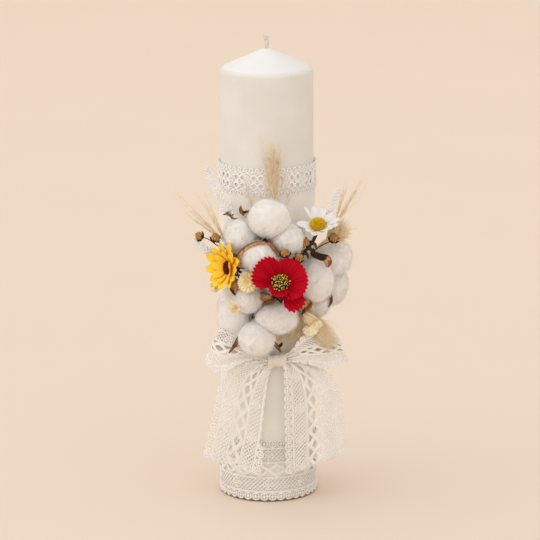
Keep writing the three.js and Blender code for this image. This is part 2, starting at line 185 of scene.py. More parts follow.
def tube(bag, path, radius, sides, closed=False, normals=None, tone=0.5, along=None, flat=1.0):
    """A closed tube round a path.

    radius may differ from point to point, and flat presses the tube along its normals.
    """
    path = np.asarray(path, float)
    count = len(path)
    if closed:
        tangent = unit(np.roll(path, -1, axis=0) - np.roll(path, 1, axis=0))
    else:
        tangent = unit(np.gradient(path, axis=0))
    if normals is None:
        guide = FRONT if abs(tangent[:, 1]).mean() < 0.8 else UP
        normals = np.broadcast_to(guide, path.shape)
    side = unit(np.cross(normals, tangent))
    lift = np.cross(tangent, side)
    radius = np.broadcast_to(radius, count)[:, None, None]
    turn = np.linspace(0, 2 * math.pi, sides, endpoint=False)[None, :, None]
    points = path[:, None] + radius * (np.cos(turn) * side[:, None] + flat * np.sin(turn) * lift[:, None])
    faces = []
    for i in range(count if closed else count - 1):
        a, b = i * sides, ((i + 1) % count) * sides
        for j in range(sides):
            k = (j + 1) % sides
            faces.append([a + j, a + k, b + k, b + j])
    if not closed:
        faces.append(list(range(sides))[::-1])
        faces.append(list(range((count - 1) * sides, count * sides)))
    if along is None:
        along = np.linspace(0, 1, count)
    bag.add(points, faces, np.repeat(np.broadcast_to(along, count), sides), tone)


def stalk(bag, points, steps, radius, sides, tone=0.5):
    """A thin stem along a smooth curve through a few points."""
    tube(bag, spline(points, np.linspace(0, 1, steps)), radius, sides, tone=tone)


def revolve(bag, profile, segments, place=None, shape=None, tone=0.5):
    """A solid of revolution round +Z, from a profile that starts and ends on the axis.

    shape(angle, share) scales the radius, and tone may be such a function too. place moves the points into
    the frame.
    """
    profile = np.asarray(profile, float)
    share = np.linspace(0, 1, len(profile))
    angle = np.linspace(0, 2 * math.pi, segments, endpoint=False)
    ring = profile[1:-1]
    radius = np.repeat(ring[:, :1], segments, axis=1)
    if shape is not None:
        radius = radius * shape(angle[None, :], share[1:-1, None])
    points = np.stack([radius * np.cos(angle), radius * np.sin(angle),
                       np.repeat(ring[:, 1:], segments, axis=1)], axis=-1).reshape(-1, 3)
    points = np.concatenate([points, [[0, 0, profile[0, 1]], [0, 0, profile[-1, 1]]]])
    faces = []
    rings = len(ring)
    for i in range(rings - 1):
        below, above = i * segments, (i + 1) * segments
        for j in range(segments):
            k = (j + 1) % segments
            faces.append([below + j, below + k, above + k, above + j])
    for j in range(segments):
        k = (j + 1) % segments
        faces.append([rings * segments, k, j])
        faces.append([rings * segments + 1, (rings - 1) * segments + j, (rings - 1) * segments + k])
    along = np.concatenate([np.repeat(share[1:-1], segments), [0, 1]])
    if place is not None:
        points = place(points)
    if callable(tone):
        tone = np.append(tone(angle[None, :], share[1:-1, None]).ravel(), (0.5, 0.5))
    bag.add(points, faces, along, tone)


def facing_frame(centre, facing):
    """Turns points of a flower's own frame (x right, y up, z out of its face) into the frame's points."""
    out = unit(np.asarray(facing, float))
    right = unit(np.cross(UP, out))
    up = np.cross(out, right)
    basis = np.stack([right, up, out])
    return lambda points: np.asarray(points, float) @ basis + np.asarray(centre, float)


def ball(level):
    """Points and faces of a round ball of triangles, radius 1."""
    mesh = bpy.data.meshes.new("ball")
    shape = bmesh.new()
    bmesh.ops.create_icosphere(shape, subdivisions=level, radius=1.0)
    shape.to_mesh(mesh)
    shape.free()
    points = np.array([vertex.co for vertex in mesh.vertices], float)
    faces = [list(face.vertices) for face in mesh.polygons]
    bpy.data.meshes.remove(mesh)
    return points, faces


def noise_at(points, scale, seed, octaves=1):
    """Smooth noise from about -1 to 1 at points in millimetres, with features about scale wide."""
    values = []
    for point in np.asarray(points) / scale + seed:
        value, weight = 0.0, 1.0
        for octave in range(octaves):
            value += weight * noise.noise(point * 2.0**octave)
            weight *= 0.5
        values.append(value)
    return np.array(values)


# ---- materials -----------------------------------------------------------------------------------
class Look:
    """A procedural material, with short names for the nodes that they all use."""

    def __init__(self, name, **sockets):
        self.material = bpy.data.materials.new(name)
        self.material.use_nodes = True
        self.tree = self.material.node_tree
        self.shader = self.tree.nodes["Principled BSDF"]
        for socket, value in sockets.items():
            self.shader.inputs[socket.replace("_", " ")].default_value = value

    def node(self, kind, **inputs):
        made = self.tree.nodes.new(kind)
        for socket, value in inputs.items():
            target = made.inputs[socket.replace("_", " ")]
            if isinstance(value, bpy.types.NodeSocket):
                self.tree.links.new(value, target)
            else:
                target.default_value = value
        return made

    def where(self, stretch):
        coordinates = self.node("ShaderNodeTexCoord")
        mapping = self.node("ShaderNodeMapping", Vector=coordinates.outputs["Object"], Scale=stretch)
        return mapping.outputs["Vector"]

    def noise(self, size_mm, detail=3.0, stretch=(1, 1, 1), distortion=0.0):
        made = self.node("ShaderNodeTexNoise", Vector=self.where(stretch), Scale=1000 / size_mm,
                         Detail=detail, Distortion=distortion)
        return made.outputs["Fac"]

    def waves(self, size_mm, distortion, direction="X"):
        made = self.node("ShaderNodeTexWave", Vector=self.where((1, 1, 1)), Scale=1000 / size_mm / 3,
                         Distortion=distortion)
        made.bands_direction = direction
        return made.outputs["Fac"]

    def attribute(self, name):
        made = self.node("ShaderNodeAttribute")
        made.attribute_name = name
        return made.outputs["Fac"]

    def ramp(self, factor, *stops):
        made = self.node("ShaderNodeValToRGB", Fac=factor)
        colours = made.color_ramp.elements
        while len(colours) < len(stops):
            colours.new(0.5)
        for element, (position, colour) in zip(colours, stops):
            element.position = position
            element.color = (*colour, 1)
        return made.outputs["Color"]

    def blend(self, factor, first, second, mode="MIX"):
        made = self.tree.nodes.new("ShaderNodeMix")
        made.data_type = "RGBA"
        made.blend_type = mode
        for index, value in ((0, factor), (6, first), (7, second)):
            if isinstance(value, bpy.types.NodeSocket):
                self.tree.links.new(value, made.inputs[index])
            else:
                made.inputs[index].default_value = value if index == 0 else (*value, 1)
        return made.outputs[2]

    def maths(self, operation, first, second):
        made = self.node("ShaderNodeMath")
        made.operation = operation
        for index, value in enumerate((first, second)):
            if isinstance(value, bpy.types.NodeSocket):
                self.tree.links.new(value, made.inputs[index])
            else:
                made.inputs[index].default_value = value
        return made.outputs[0]

    def mix(self, first, share, second, other_share):
        """first and second, each times its share, added up."""
        parts = ((first, share), (second, other_share))
        weighed = [self.maths("MULTIPLY", socket, part) for socket, part in parts]
        return self.maths("ADD", *weighed)

    def colour(self, socket):
        self.tree.links.new(socket, self.shader.inputs["Base Color"])
        return self

    def roughness(self, socket):
        self.tree.links.new(socket, self.shader.inputs["Roughness"])
        return self

    def bump(self, height, depth_mm, strength=1.0):
        made = self.node("ShaderNodeBump", Height=height, Distance=depth_mm * MM, Strength=strength)
        self.tree.links.new(made.outputs["Normal"], self.shader.inputs["Normal"])
        return self


def wax_look():
    """Cloudy wax. The cone, past 0.77 of the way along the outline, is painted whiter than the pillar below
    it: painted light, for the light from above and the sheen on the cone.
    """
    look = Look("wax", Subsurface_Weight=0.15, Subsurface_Radius=(1.0, 0.75, 0.5), Subsurface_Scale=0.003,
                IOR=1.44, Coat_Weight=0.08, Coat_Roughness=0.35)
    cloud = look.noise(26, 4)
    body = look.ramp(cloud, (0.3, (0.785, 0.752, 0.70)), (0.7, (0.825, 0.797, 0.755)))
    # Painted light: the cone takes a whiter colour for the light that falls on it from above.
    cone = look.ramp(look.attribute("along"), (0.765, (0, 0, 0)), (0.785, (1, 1, 1)))
    look.colour(look.blend(cone, body, (0.865, 0.862, 0.85)))
    look.roughness(look.ramp(look.noise(9, 5), (0.3, (0.40,) * 3), (0.75, (0.56,) * 3)))
    return look.bump(look.noise(5, 5), 0.12, 0.5).material


def wick_look():
    look = Look("wick_cotton", Roughness=0.9, Sheen_Weight=0.3)
    look.colour(look.ramp(look.noise(0.9, 4), (0.3, (0.58, 0.47, 0.36)), (0.6, (0.86, 0.80, 0.73))))
    return look.bump(look.noise(0.35, 3), 0.1).material


def cloth_look(name, dark, light, thread_mm, sheen=0.35, roughness=0.85, hem=None):
    """Plain woven cloth. hem, if given, is a painted shadow colour over the last thread or two at its foot,
    for the warm contact shadow where it meets the floor.
    """
    look = Look(name, Roughness=roughness, Sheen_Weight=sheen, Sheen_Roughness=0.5, Subsurface_Weight=0.06,
                Subsurface_Scale=0.002)
    patch = look.noise(14, 4)
    warp = look.waves(thread_mm, 1.2)
    weft = look.waves(thread_mm * 1.15, 1.2, "Z")
    weave = look.maths("MULTIPLY", warp, weft)
    shade = look.mix(patch, 0.72, weave, 0.28)
    base = look.ramp(shade, (0.25, dark), (0.62, light))
    if hem:
        # Painted shadow: the last thread or two at the foot take the hem colour.
        foot_shadow = look.ramp(look.attribute("along"), (0.005, (1, 1, 1)), (0.008, (0, 0, 0)))
        base = look.blend(foot_shadow, base, hem)
    look.colour(base)
    return look.bump(weave, 0.12, 0.5).material


def lace_look(name, dark, light):
    look = Look(name, Roughness=0.9, Sheen_Weight=0.45, Sheen_Roughness=0.5, Specular_IOR_Level=0.3)
    shade = look.mix(look.noise(11, 3), 1.0, look.noise(0.7, 3), 0.5)
    look.colour(look.ramp(shade, (0.5, dark), (0.95, light)))
    return look.bump(look.waves(0.42, 4.0, "DIAGONAL"), 0.08, 0.6).material


def cotton_look():
    look = Look("cotton_fluff", Roughness=1.0, Sheen_Weight=0.4, Sheen_Roughness=0.6, Specular_IOR_Level=0.2)
    wisps = look.noise(5.5, 6, (1, 1, 0.55), 1.2)
    shade = look.mix(wisps, 0.6, look.attribute("tone"), 0.4)
    look.colour(look.ramp(shade, (0.2, (0.885, 0.845, 0.785)), (0.5, (0.93, 0.90, 0.855)),
                          (0.8, (0.945, 0.925, 0.89))))
    return look.bump(look.noise(1.6, 6, (1, 1, 0.5), 0.8), 0.5, 0.6).material


def burr_look():
    look = Look("burr_husk", Roughness=0.75, Specular_IOR_Level=0.2)
    streaks = look.noise(1.6, 5, (1, 1, 0.35), 0.6)
    shade = look.mix(streaks, 0.55, look.attribute("tone"), 0.5)
    look.colour(look.ramp(shade, (0.25, (0.036, 0.015, 0.006)), (0.43, (0.22, 0.085, 0.024)),
                          (0.6, (0.49, 0.235, 0.075)), (0.82, (0.76, 0.51, 0.28))))
    return look.bump(streaks, 0.3, 0.8).material


def petal_look(name, root, body, tip, vein_mm, deep=0.8, gloss=0.3):
    """Printed or dyed petal cloth: its colour runs from root to tip, with fine streaks."""
    look = Look(name, Roughness=0.8, Specular_IOR_Level=gloss)
    mottle = look.noise(vein_mm, 4)
    run = look.mix(look.attribute("along"), 1.0, mottle, 0.22)
    run = look.mix(run, 1.0, look.attribute("tone"), 0.1)
    base = look.ramp(run, (0.1, root), (0.4, body), (1.0, tip))
    weave = look.noise(0.5, 2)
    shaded = look.blend(0.35, base, look.ramp(weave, (0.3, (deep,) * 3), (0.7, (1.0,) * 3)), "MULTIPLY")
    look.colour(shaded)
    return look.bump(weave, 0.08, 0.7).material


def plant_look(name, dark, mid, light, size_mm):
    """A dried plant part, streaked between three shades."""
    look = Look(name, Roughness=0.8, Specular_IOR_Level=0.25)
    streaks = look.noise(size_mm, 5, (1, 1, 0.4), 0.5)
    shade = look.mix(streaks, 0.6, look.attribute("tone"), 0.4)
    look.colour(look.ramp(shade, (0.28, dark), (0.5, mid), (0.72, light)))
    return look.bump(streaks, 0.15, 0.7).material


def glue_look():
    look = Look("glue", Roughness=0.3, Subsurface_Weight=0.3, Subsurface_Scale=0.004, Coat_Weight=0.3)
    look.colour(look.ramp(look.noise(6, 4), (0.3, (0.72, 0.66, 0.56)), (0.7, (0.80, 0.75, 0.66))))
    return look.bump(look.noise(3.5, 3), 0.6, 0.7).material


def backdrop_look():
    look = Look("paper_backdrop", Roughness=0.95)
    look.colour(look.ramp(look.noise(300, 2), (0.3, (0.835, 0.71, 0.585)), (0.7, (0.845, 0.72, 0.595))))
    return look.material


WAX = wax_look()
WICK = wick_look()
# The sleeve's brown foot is painted shadow: the warm contact shadow under the lace, next to the floor.
WRAP = cloth_look("wrap_cloth", (0.875, 0.83, 0.765), (0.92, 0.88, 0.82), 0.55, hem=(0.30, 0.15, 0.06))
SATIN = cloth_look("satin", (0.79, 0.715, 0.62), (0.85, 0.785, 0.695), 0.25, sheen=0.5, roughness=0.5)
LACE = lace_look("lace_cotton", (0.93, 0.882, 0.818), (0.965, 0.932, 0.888))
WHITE_LACE = lace_look("lace_bleached", (0.965, 0.94, 0.90), (0.985, 0.97, 0.945))
COTTON = cotton_look()
BURR = burr_look()
SUNFLOWER = petal_look("sunflower_cloth", (0.96, 0.28, 0.008), (1.0, 0.47, 0.016), (1.0, 0.70, 0.04), 0.45,
                       deep=0.92)
POPPY = petal_look("poppy_cloth", (0.20, 0.001, 0.005), (0.41, 0.002, 0.010), (0.54, 0.004, 0.018), 0.4,
                   gloss=0.05)
DAISY = petal_look("daisy_cloth", (0.72, 0.72, 0.68), (0.84, 0.83, 0.81), (0.88, 0.87, 0.855), 0.3,
                   deep=0.93)
SUNFLOWER_DISC = plant_look("sunflower_disc", (0.05, 0.004, 0.004), (0.13, 0.010, 0.008), (0.26, 0.03, 0.02),
                            0.8)
DAISY_DISC = plant_look("daisy_disc", (0.66, 0.36, 0.01), (0.86, 0.60, 0.015), (0.96, 0.74, 0.05), 0.9)
STAMEN = plant_look("stamen_yellow", (0.55, 0.30, 0.02), (0.85, 0.55, 0.05), (0.96, 0.75, 0.18), 0.8)
GREEN = plant_look("stem_green", (0.025, 0.022, 0.010), (0.075, 0.060, 0.028), (0.22, 0.18, 0.10), 1.2)
GLUE = glue_look()
POD = plant_look("pod_shell", (0.03, 0.015, 0.008), (0.30, 0.125, 0.03), (0.66, 0.38, 0.12), 0.9)
STRAW = plant_look("straw_petals", (0.80, 0.56, 0.24), (0.95, 0.81, 0.48), (0.97, 0.91, 0.70), 1.4)
GRASS = plant_look("dried_grass", (0.78, 0.52, 0.26), (0.95, 0.76, 0.48), (0.98, 0.88, 0.67), 1.5)
TAIL = plant_look("tail_hair", (0.97, 0.66, 0.35), (1.0, 0.81, 0.51), (1.0, 0.91, 0.70), 1.5)
BRISTLE = plant_look("tail_bristle", (0.97, 0.63, 0.29), (1.0, 0.78, 0.45), (1.0, 0.90, 0.68), 1.5)
LEAF = plant_look("pale_leaf", (0.78, 0.73, 0.66), (0.84, 0.79, 0.72), (0.88, 0.84, 0.78), 2.5)
FERN = plant_look("bleached_fern", (0.89, 0.865, 0.83), (0.95, 0.935, 0.91), (0.98, 0.975, 0.955), 1.5)
SEED = plant_look("brown_seed", (0.10, 0.06, 0.03), (0.25, 0.17, 0.10), (0.42, 0.32, 0.22), 0.8)


# ---- camera, light and backdrop ------------------------------------------------------------------
CAMERA_PLACE = (0.0019, -2.6196, 0.8139)
CAMERA_TILT = math.radians(13.75)
CAMERA_ROLL = math.radians(0.25)
CAMERA_LENS = 236.5

# Each sun's name, strength, spread in degrees, colour and the way its light goes.
SUNS = [("broad_key", 1.46, 148, (0.945, 0.99, 1.07), (0.40, 0.48, -0.78)),
        ("side_glow", 0.22, 60, (1.0, 0.98, 0.95), (0.95, 0.30, -0.12))]
SURROUND_COLOUR = (1.0, 0.922, 0.835, 1)
SURROUND_STRENGTH = 0.63


def add_camera():
    lens = bpy.data.cameras.new("camera")
    lens.lens = CAMERA_LENS
    lens.sensor_width = 36.0
    camera = bpy.data.objects.new("camera", lens)
    turn = Matrix.Rotation(math.pi / 2 - CAMERA_TILT, 4, "X") @ Matrix.Rotation(-CAMERA_ROLL, 4, "Z")
    camera.matrix_world = Matrix.Translation(CAMERA_PLACE) @ turn
    bpy.context.scene.collection.objects.link(camera)
    bpy.context.scene.camera = camera


def add_light():
    """A pale, warm surround, a very broad light from above on the left, and a faint one from the left."""
    world = bpy.data.worlds.new("studio")
    world.use_nodes = True
    surround = world.node_tree.nodes["Background"]
    surround.inputs["Color"].default_value = SURROUND_COLOUR
    surround.inputs["Strength"].default_value = SURROUND_STRENGTH
    bpy.context.scene.world = world
    for name, energy, angle, colour, way in SUNS:
        lamp = bpy.data.lights.new(name, "SUN")
        lamp.energy = energy
        lamp.angle = math.radians(angle)
        lamp.color = colour
        light = bpy.data.objects.new(name, lamp)
        light.rotation_euler = Vector(way).to_track_quat("-Z", "Y").to_euler()
        bpy.context.scene.collection.objects.link(light)
    bpy.context.scene.view_settings.view_transform = "Standard"


def add_backdrop():
    """A floor that curves up behind into a wall, in one sweep."""
    wide, near, far, bend, tall, arc = 7.0, -5.0, 3.0, 1.2, 3.5, 16
    profile = [(near, 0.0), (far, 0.0)]
    for i in range(1, arc + 1):
        angle = math.pi / 2 * i / arc
        profile.append((far + bend * math.sin(angle), bend * (1 - math.cos(angle))))
    profile.append((far + bend, tall))
    points = [(x, y, z) for y, z in profile for x in (-wide, wide)]
    faces = [(2 * i, 2 * i + 1, 2 * i + 3, 2 * i + 2) for i in range(len(profile) - 1)]
    mesh = bpy.data.meshes.new("backdrop")
    mesh.from_pydata(points, [], faces)
    mesh.polygons.foreach_set("use_smooth", [True] * len(faces))
    mesh.materials.append(backdrop_look())
    backdrop = bpy.data.objects.new("backdrop", mesh)
    bpy.context.scene.collection.objects.link(backdrop)


# ---- candle, wick and sleeve ---------------------------------------------------------------------
CONE_HEIGHT = 15.8
SHOULDER_ROUNDING = 2.2
WICK_HOLE_RADIUS = 1.7
CLOTH_THICK = 0.5


def build_candle():
    radius, top = CANDLE_RADIUS, corners("candle_body")[1][2]
    shoulder = top - CONE_HEIGHT
    rounding, bore = SHOULDER_ROUNDING, WICK_HOLE_RADIUS
    slope = CONE_HEIGHT / radius
    profile = [(0, 0), (radius - 0.8, 0), (radius, 0.8)]
    profile += [(radius, z) for z in np.linspace(4, shoulder - rounding * 1.5, 60)]
    for i in range(1, 6):
        turn = math.pi / 2 * i / 6
        profile.append((radius - rounding + rounding * math.cos(turn),
                        shoulder - rounding + rounding * math.sin(turn)))
    profile += [(r, shoulder + (radius - r) * slope) for r in np.linspace(radius - 2.5, bore + 1.6, 16)]
    profile += [(bore + 0.7, top - 1.1), (bore, top - 1.3), (bore * 0.6, top - 1.9), (0, top - 2.2)]

    def hand_poured(angle, share):
        return 1 + 0.0014 * np.sin(3 * angle + 9 * share) + 0.0008 * np.sin(7 * angle - 20 * share)

    bag = Bag()
    revolve(bag, profile, 128, shape=hand_poured)
    bag.piece("candle_wax", WAX, "wax", "candle_body")


def build_wick():
    """Four cotton strands braided flat, with their cut ends splayed."""
    foot, tip = corners("candle_body")[1][2] - 3.2, corners("wick")[1][2]
    bag = Bag()
    s = np.linspace(0, 1, 26)
    for k in range(4):
        phase = k * math.pi / 2
        splay = smoothstep((s - 0.72) / 0.28) * (0.9 if k % 2 else -1.0)
        x = (0.7 + 0.35 * s) * np.sin(2 * math.pi * 1.6 * s + phase) + splay + 0.7 - 1.1 * s
        y = 0.55 * np.cos(2 * math.pi * 3.2 * s + phase)
        z = foot + (tip - foot - 0.6 * (k % 3)) * s
        width = 0.72 + 0.12 * s - 0.25 * smoothstep((s - 0.85) / 0.15)
        tube(bag, np.stack([x, y, z], axis=1), width, 8, tone=0.3 + 0.15 * k)
    rng = random_for("wick")
    for _ in range(26):
        start = np.array([rng.uniform(-2.4, 1.9), rng.uniform(-0.6, 0.6), tip - rng.uniform(0.4, 2.2)])
        end = start + np.array([rng.uniform(-0.8, 0.8), rng.uniform(-0.6, 0.6), rng.uniform(0.2, 0.9)])
        tube(bag, np.linspace(start, end, 4), [0.09, 0.08, 0.06, 0.03], 4, tone=rng.uniform())
    bag.piece("wick_braid", WICK, "wick", "wick")


def cylinder_grid(radius, bottom, top, around, up, ripple, overlap=0.0):
    """A grid of points on an upright cylinder. Rows go round, from the back seam."""
    turn = np.linspace(-math.pi - overlap, math.pi, around, endpoint=overlap > 0)[:, None]
    height = np.linspace(bottom, top, up)[None, :]
    wave = ripple * (np.sin(5 * turn + height / 31) * np.sin(height / 17 + 2 * turn))
    layer = 0.6 * smoothstep((-turn - math.pi + overlap) / 0.1) if overlap else 0.0
    reach = radius + wave + layer
    return np.stack([reach * np.sin(turn), -reach * np.cos(turn), height + 0 * turn], axis=-1)


def build_wrap():
    low, high = corners("fabric_wrap")
    bag = Bag()
    columns, rows = 145, 90
    grid = cylinder_grid(WRAP_RADIUS - 0.45, low[2], high[2], columns, rows, 0.10, 0.16)
    sheet_of(bag, grid, CLOTH_THICK, along=np.tile(np.linspace(0, 1, rows), columns))
    wrap = bag.piece("fabric_sleeve", WRAP, "wrap_fabric", "fabric_wrap")


def build_tie():
    low, high = corners("ribbon_tie")
    bag = Bag()
    sheet_of(bag, cylinder_grid(WRAP_RADIUS + 0.7, low[2], high[2], 120, 9, 0.12), 0.4, close_rows=True)
    tie = bag.piece("satin_tie", SATIN, "satin", "ribbon_tie")


# ---- lace: threads in a flat pattern, u along the ribbon, v across it, w out of it ---------------
# Radii of a wheel's rim and of the net's threads, and how much a thread is pressed flat.
CORD = 0.56
FINE = 0.44
THREAD_FLAT = 0.62
WIDE_LACE = 48.0
WHEEL_PITCH = 6.45
PICOTS = 48


class Pattern:
    """The threads of a strip of lace, as flat paths with a thickness."""

    def __init__(self, length, width):
        self.length = length
        self.width = width
        self.threads = []

    def path(self, points, radius, closed=False):
        self.threads.append((np.asarray(points, float), radius, closed))

    def line(self, start, end, radius, step, lift=0.0):
        reach = math.dist(start, end)
        t = np.linspace(0, 1, max(2, round(reach / step) + 1))[:, None]
        flat = np.array(start)[None] * (1 - t) + np.array(end)[None] * t
        self.path(np.concatenate([flat, lift * np.ones_like(t)], axis=1), radius)

    def run(self, v, radius, wave, pitch):
        """A cord along the whole strip, with a small side-to-side wave."""
        u = np.linspace(0, self.length, round(self.length) + 1)
        sway = wave * np.sin(2 * math.pi * u / pitch)
        self.path(np.stack([u, v + sway, 0 * u], axis=1), radius)

    def ring(self, u, v, radius, cord, stretch=1.0, lift=0.0, points=16):
        turn = np.linspace(0, 2 * math.pi, points, endpoint=False)
        ring = [u + stretch * radius * np.cos(turn), v + radius * np.sin(turn), lift + 0 * turn]
        self.path(np.stack(ring, axis=1), cord, closed=True)

    def net(self, low, high, pitch, radius):
        """Two families of threads at 45 degrees, with a knot on every other crossing."""
        rise = high - low
        for k in range(-math.ceil(rise / pitch), math.ceil((self.length + rise) / pitch) + 1):
            for way in (1, -1):
                foot, lean = k * pitch, way * rise
                enter, leave = sorted(((0 - foot) / lean, (self.length - foot) / lean))
                enter, leave = max(enter, 0), min(leave, 1)
                if leave - enter > 0.08:
                    start = (foot + lean * enter, low + rise * enter)
                    end = (foot + lean * leave, low + rise * leave)
                    self.line(start, end, radius, 1.2, 0.12 * way)
        rows = int(rise / (pitch / 2))
        for row in range(1, rows + 1, 2):
            for k in range(int(self.length / pitch)):
                self.ring((k + 0.5) * pitch, low + row * pitch / 2, 0.3, 0.42, points=6, lift=0.25)

    def flower(self, u, v):
        """An open round motif: a hub, six petals and a fine ring."""
        self.ring(u, v, 0.5, 0.55, points=8, lift=0.3)
        for k in range(6):
            turn = (k + 0.5) * math.pi / 3
            self.ring(u + 2.1 * math.cos(turn), v + 2.1 * math.sin(turn), 0.42, 0.5, points=8, lift=0.3)
        self.ring(u, v, 3.5, 0.46, points=24, lift=0.2)

    def wheel(self, u, v, radius):
        """A ring with a solid hub on four spokes, which leave four small holes."""
        self.ring(u, v, radius, CORD, lift=0.08)
        self.ring(u, v, 0.55, 0.72, points=8, lift=0.08)
        for x, y in ((1, 0), (-1, 0), (0, 1), (0, -1)):
            self.line((u + 0.9 * x, v + 0.9 * y), (u + radius * x, v + radius * y), 0.42, 0.9)

    def zigzag(self, mid, height, repeat, phase, offset, cord):
        """A cord that swings from side to side of the strip, over and under the one that crosses it."""
        u = np.linspace(0, self.length, round(self.length / 0.95) + 1)
        swing = 2 * math.pi * u / repeat + phase
        v = mid + height * np.arcsin(0.975 * np.sin(swing)) / math.asin(0.975) + offset
        lift = 0.35 * np.cos(swing * 2 + phase)
        self.path(np.stack([u, v, lift], axis=1), cord)


def wide_lace(length):
    """48 mm cotton lace: wheel edges, nets with flowers, and a lattice of triple cords in the middle."""
    lace = Pattern(length, WIDE_LACE)
    wheels = round(length / WHEEL_PITCH)
    pitch = length / wheels
    for mirror in (lambda v: v, lambda v: WIDE_LACE - v):
        for k in range(wheels):
            lace.wheel((k + 0.5) * pitch, mirror(3.1), 2.6)
        for v in (6.5, 7.25):
            lace.run(mirror(v), 0.44, 0.12, pitch / 3)
        low, high = sorted((mirror(7.7), mirror(17.5)))
        lace.net(low, high, pitch / 2, FINE)
        for k in range((wheels + 2) // 4):
            lace.flower((4 * k + 2.0) * pitch, mirror(12.7))
        for v in (17.7, 18.6):
            lace.run(mirror(v), 0.46, 0.12, pitch / 3)
    for phase in (0, math.pi):
        for offset in (-1.0, 0, 1.0):
            lace.zigzag(WIDE_LACE / 2, 4.0, 4 * pitch, phase, offset, 0.5)
    return lace


def narrow_lace(length, width):
    """Narrow cotton lace: picot edges, and two rows of paired rings with crossed threads between them."""
    lace = Pattern(length, width)
    pitch = length / PICOTS
    repeat = pitch * 3
    for way, mirror in ((-1, lambda v: v), (1, lambda v: width - v)):
        for k in range(PICOTS):
            turn = np.linspace(-0.25 * math.pi, 1.25 * math.pi, 11)
            u = (k + 0.5) * pitch + 1.3 * np.cos(turn)
            v = mirror(2.05) + way * 1.5 * np.sin(turn)
            lace.path(np.stack([u, v, 0.1 + 0 * u], axis=1), 0.5)
        lace.run(mirror(3.35), 0.43, 0.3, pitch)
        lace.run(mirror(4.5), 0.43, -0.32, pitch)
        for k in range(PICOTS // 3):
            for side in (-1, 1):
                centre = (k + 0.5) * repeat + side * 2.72
                lace.ring(centre, mirror(width / 2 - 3.05), 2.0, 0.45, 1.02, 0.15, 18)
                lace.ring(centre, mirror(width / 2 - 3.05), 2.6, 0.36, 1.02, 0.0, 18)
    lace.run(width / 2, 0.42, 0.25, pitch / 2)
    for k in range(1, PICOTS // 3):
        for shift in (-1.15, 0, 1.15):
            mid = k * repeat + shift
            for reach in (-2.3, 2.3):
                lace.line((mid - reach, 5.0), (mid + reach, width - 5.0), 0.4, 1.3, 0.08 * reach)
    return lace


def weave(bag, lace, surface):
    """Lays a lace pattern's threads on a surface in space."""
    flat = np.concatenate([points for points, _, _ in lace.threads])
    placed, normals = surface(flat)
    first = 0
    for points, radius, closed in lace.threads:
        last = first + len(points)
        tube(bag, placed[first:last], radius, 6, closed, normals[first:last],
             along=flat[first:last, 1] / lace.width, flat=THREAD_FLAT)
        first = last


def on_cylinder(radius, bottom, length):
    """The face of a band round the candle."""
    def surface(uvw):
        turn = uvw[:, 0] / length * 2 * math.pi - math.pi
        out = np.stack([np.sin(turn), -np.cos(turn), 0 * turn], axis=1)
        return out * (radius + uvw[:, 2:]) + (uvw[:, 1:2] + bottom) * UP, out
    return surface


def between(strip, lace):
    """A hung strip of ribbon between its two long edges in space.

    ease lets the far edge run ahead of the near one, and folds(s, t) is how far a point stands to the front.
    under(s) says where across the strip it is turned back behind itself, and how far.
    """
    def at(s, t):
        hem = strip.get("under")
        back = 0
        if hem:
            start, amount = hem(s)
            past = np.maximum(t - start, 0)
            t = t - 2 * past * amount
            back = past * 14 * amount
        near, far = spline(strip["low"], s), spline(strip["high"], s ** strip["ease"])
        flat = (1 - t)[:, None] * near + t[:, None] * far
        return flat + (strip["folds"](s, t) - back)[:, None] * FRONT

    def surface(uvw):
        s = np.clip(uvw[:, 0] / lace.length, 0.001, 0.999)
        t = np.clip(uvw[:, 1] / lace.width, 0.001, 0.999)
        point = at(s, t)
        along = at(np.clip(s + 0.004, 0, 1), t) - at(np.clip(s - 0.004, 0, 1), t)
        across = at(s, np.clip(t + 0.01, 0, 1)) - at(s, np.clip(t - 0.01, 0, 1))
        normal = unit(np.cross(across, along))
        return point + uvw[:, 2:] * normal, normal
    return surface


def build_bands():
    """The two lace bands. lift is how far each stands off the sleeve, and raised how far above its node."""
    length = 2 * math.pi * (WRAP_RADIUS + 0.5)
    for name, node, pattern, look, lift, raised in (
            ("base_lace", "base_lace_band", lambda width: wide_lace(length), LACE, 0.55, 0.7),
            ("top_lace", "top_lace_band", lambda width: narrow_lace(length, width), WHITE_LACE, 0.65, -0.9)):
        low, high = corners(node)
        width = high[2] - low[2]
        bag = Bag()
        weave(bag, pattern(width), on_cylinder(WRAP_RADIUS + lift, low[2] + raised, length))
        band = bag.piece(name, look, "lace", node)


def wave(turns):
    return np.sin(2 * math.pi * turns)


# The bow's folds: ripples that die away from the knot, and the broad waves of the hung cloth.
def loop_folds(s, t):
    near_knot = np.exp(-np.minimum(s, 1 - s) / 0.12)
    return 1.9 * near_knot * wave(3.5 * t) + 0.8 * wave(1.7 * t + 1.3 * s)


def left_tail_folds(s, t):
    near_knot = np.exp(-s / 0.25)
    return 1.7 * near_knot * wave(3 * t + 0.6 / (2 * math.pi)) + 1.3 * s * wave(1.1 * t + 0.1)


def right_tail_folds(s, t):
    near_knot = np.exp(-s / 0.22)
    crease = np.exp(-((t - 0.66) / 0.07) ** 2) * 2.2 * smoothstep(s * 1.5)
    return 1.8 * near_knot * wave(3 * t) + 0.8 * s * wave(1.2 * t + 0.35) + crease


def left_tail_under(s):
    """The left tail's far edge is turned under, down to two thirds of its length."""
    return 0.9, 1 - smoothstep((s - 0.66) / 0.14)


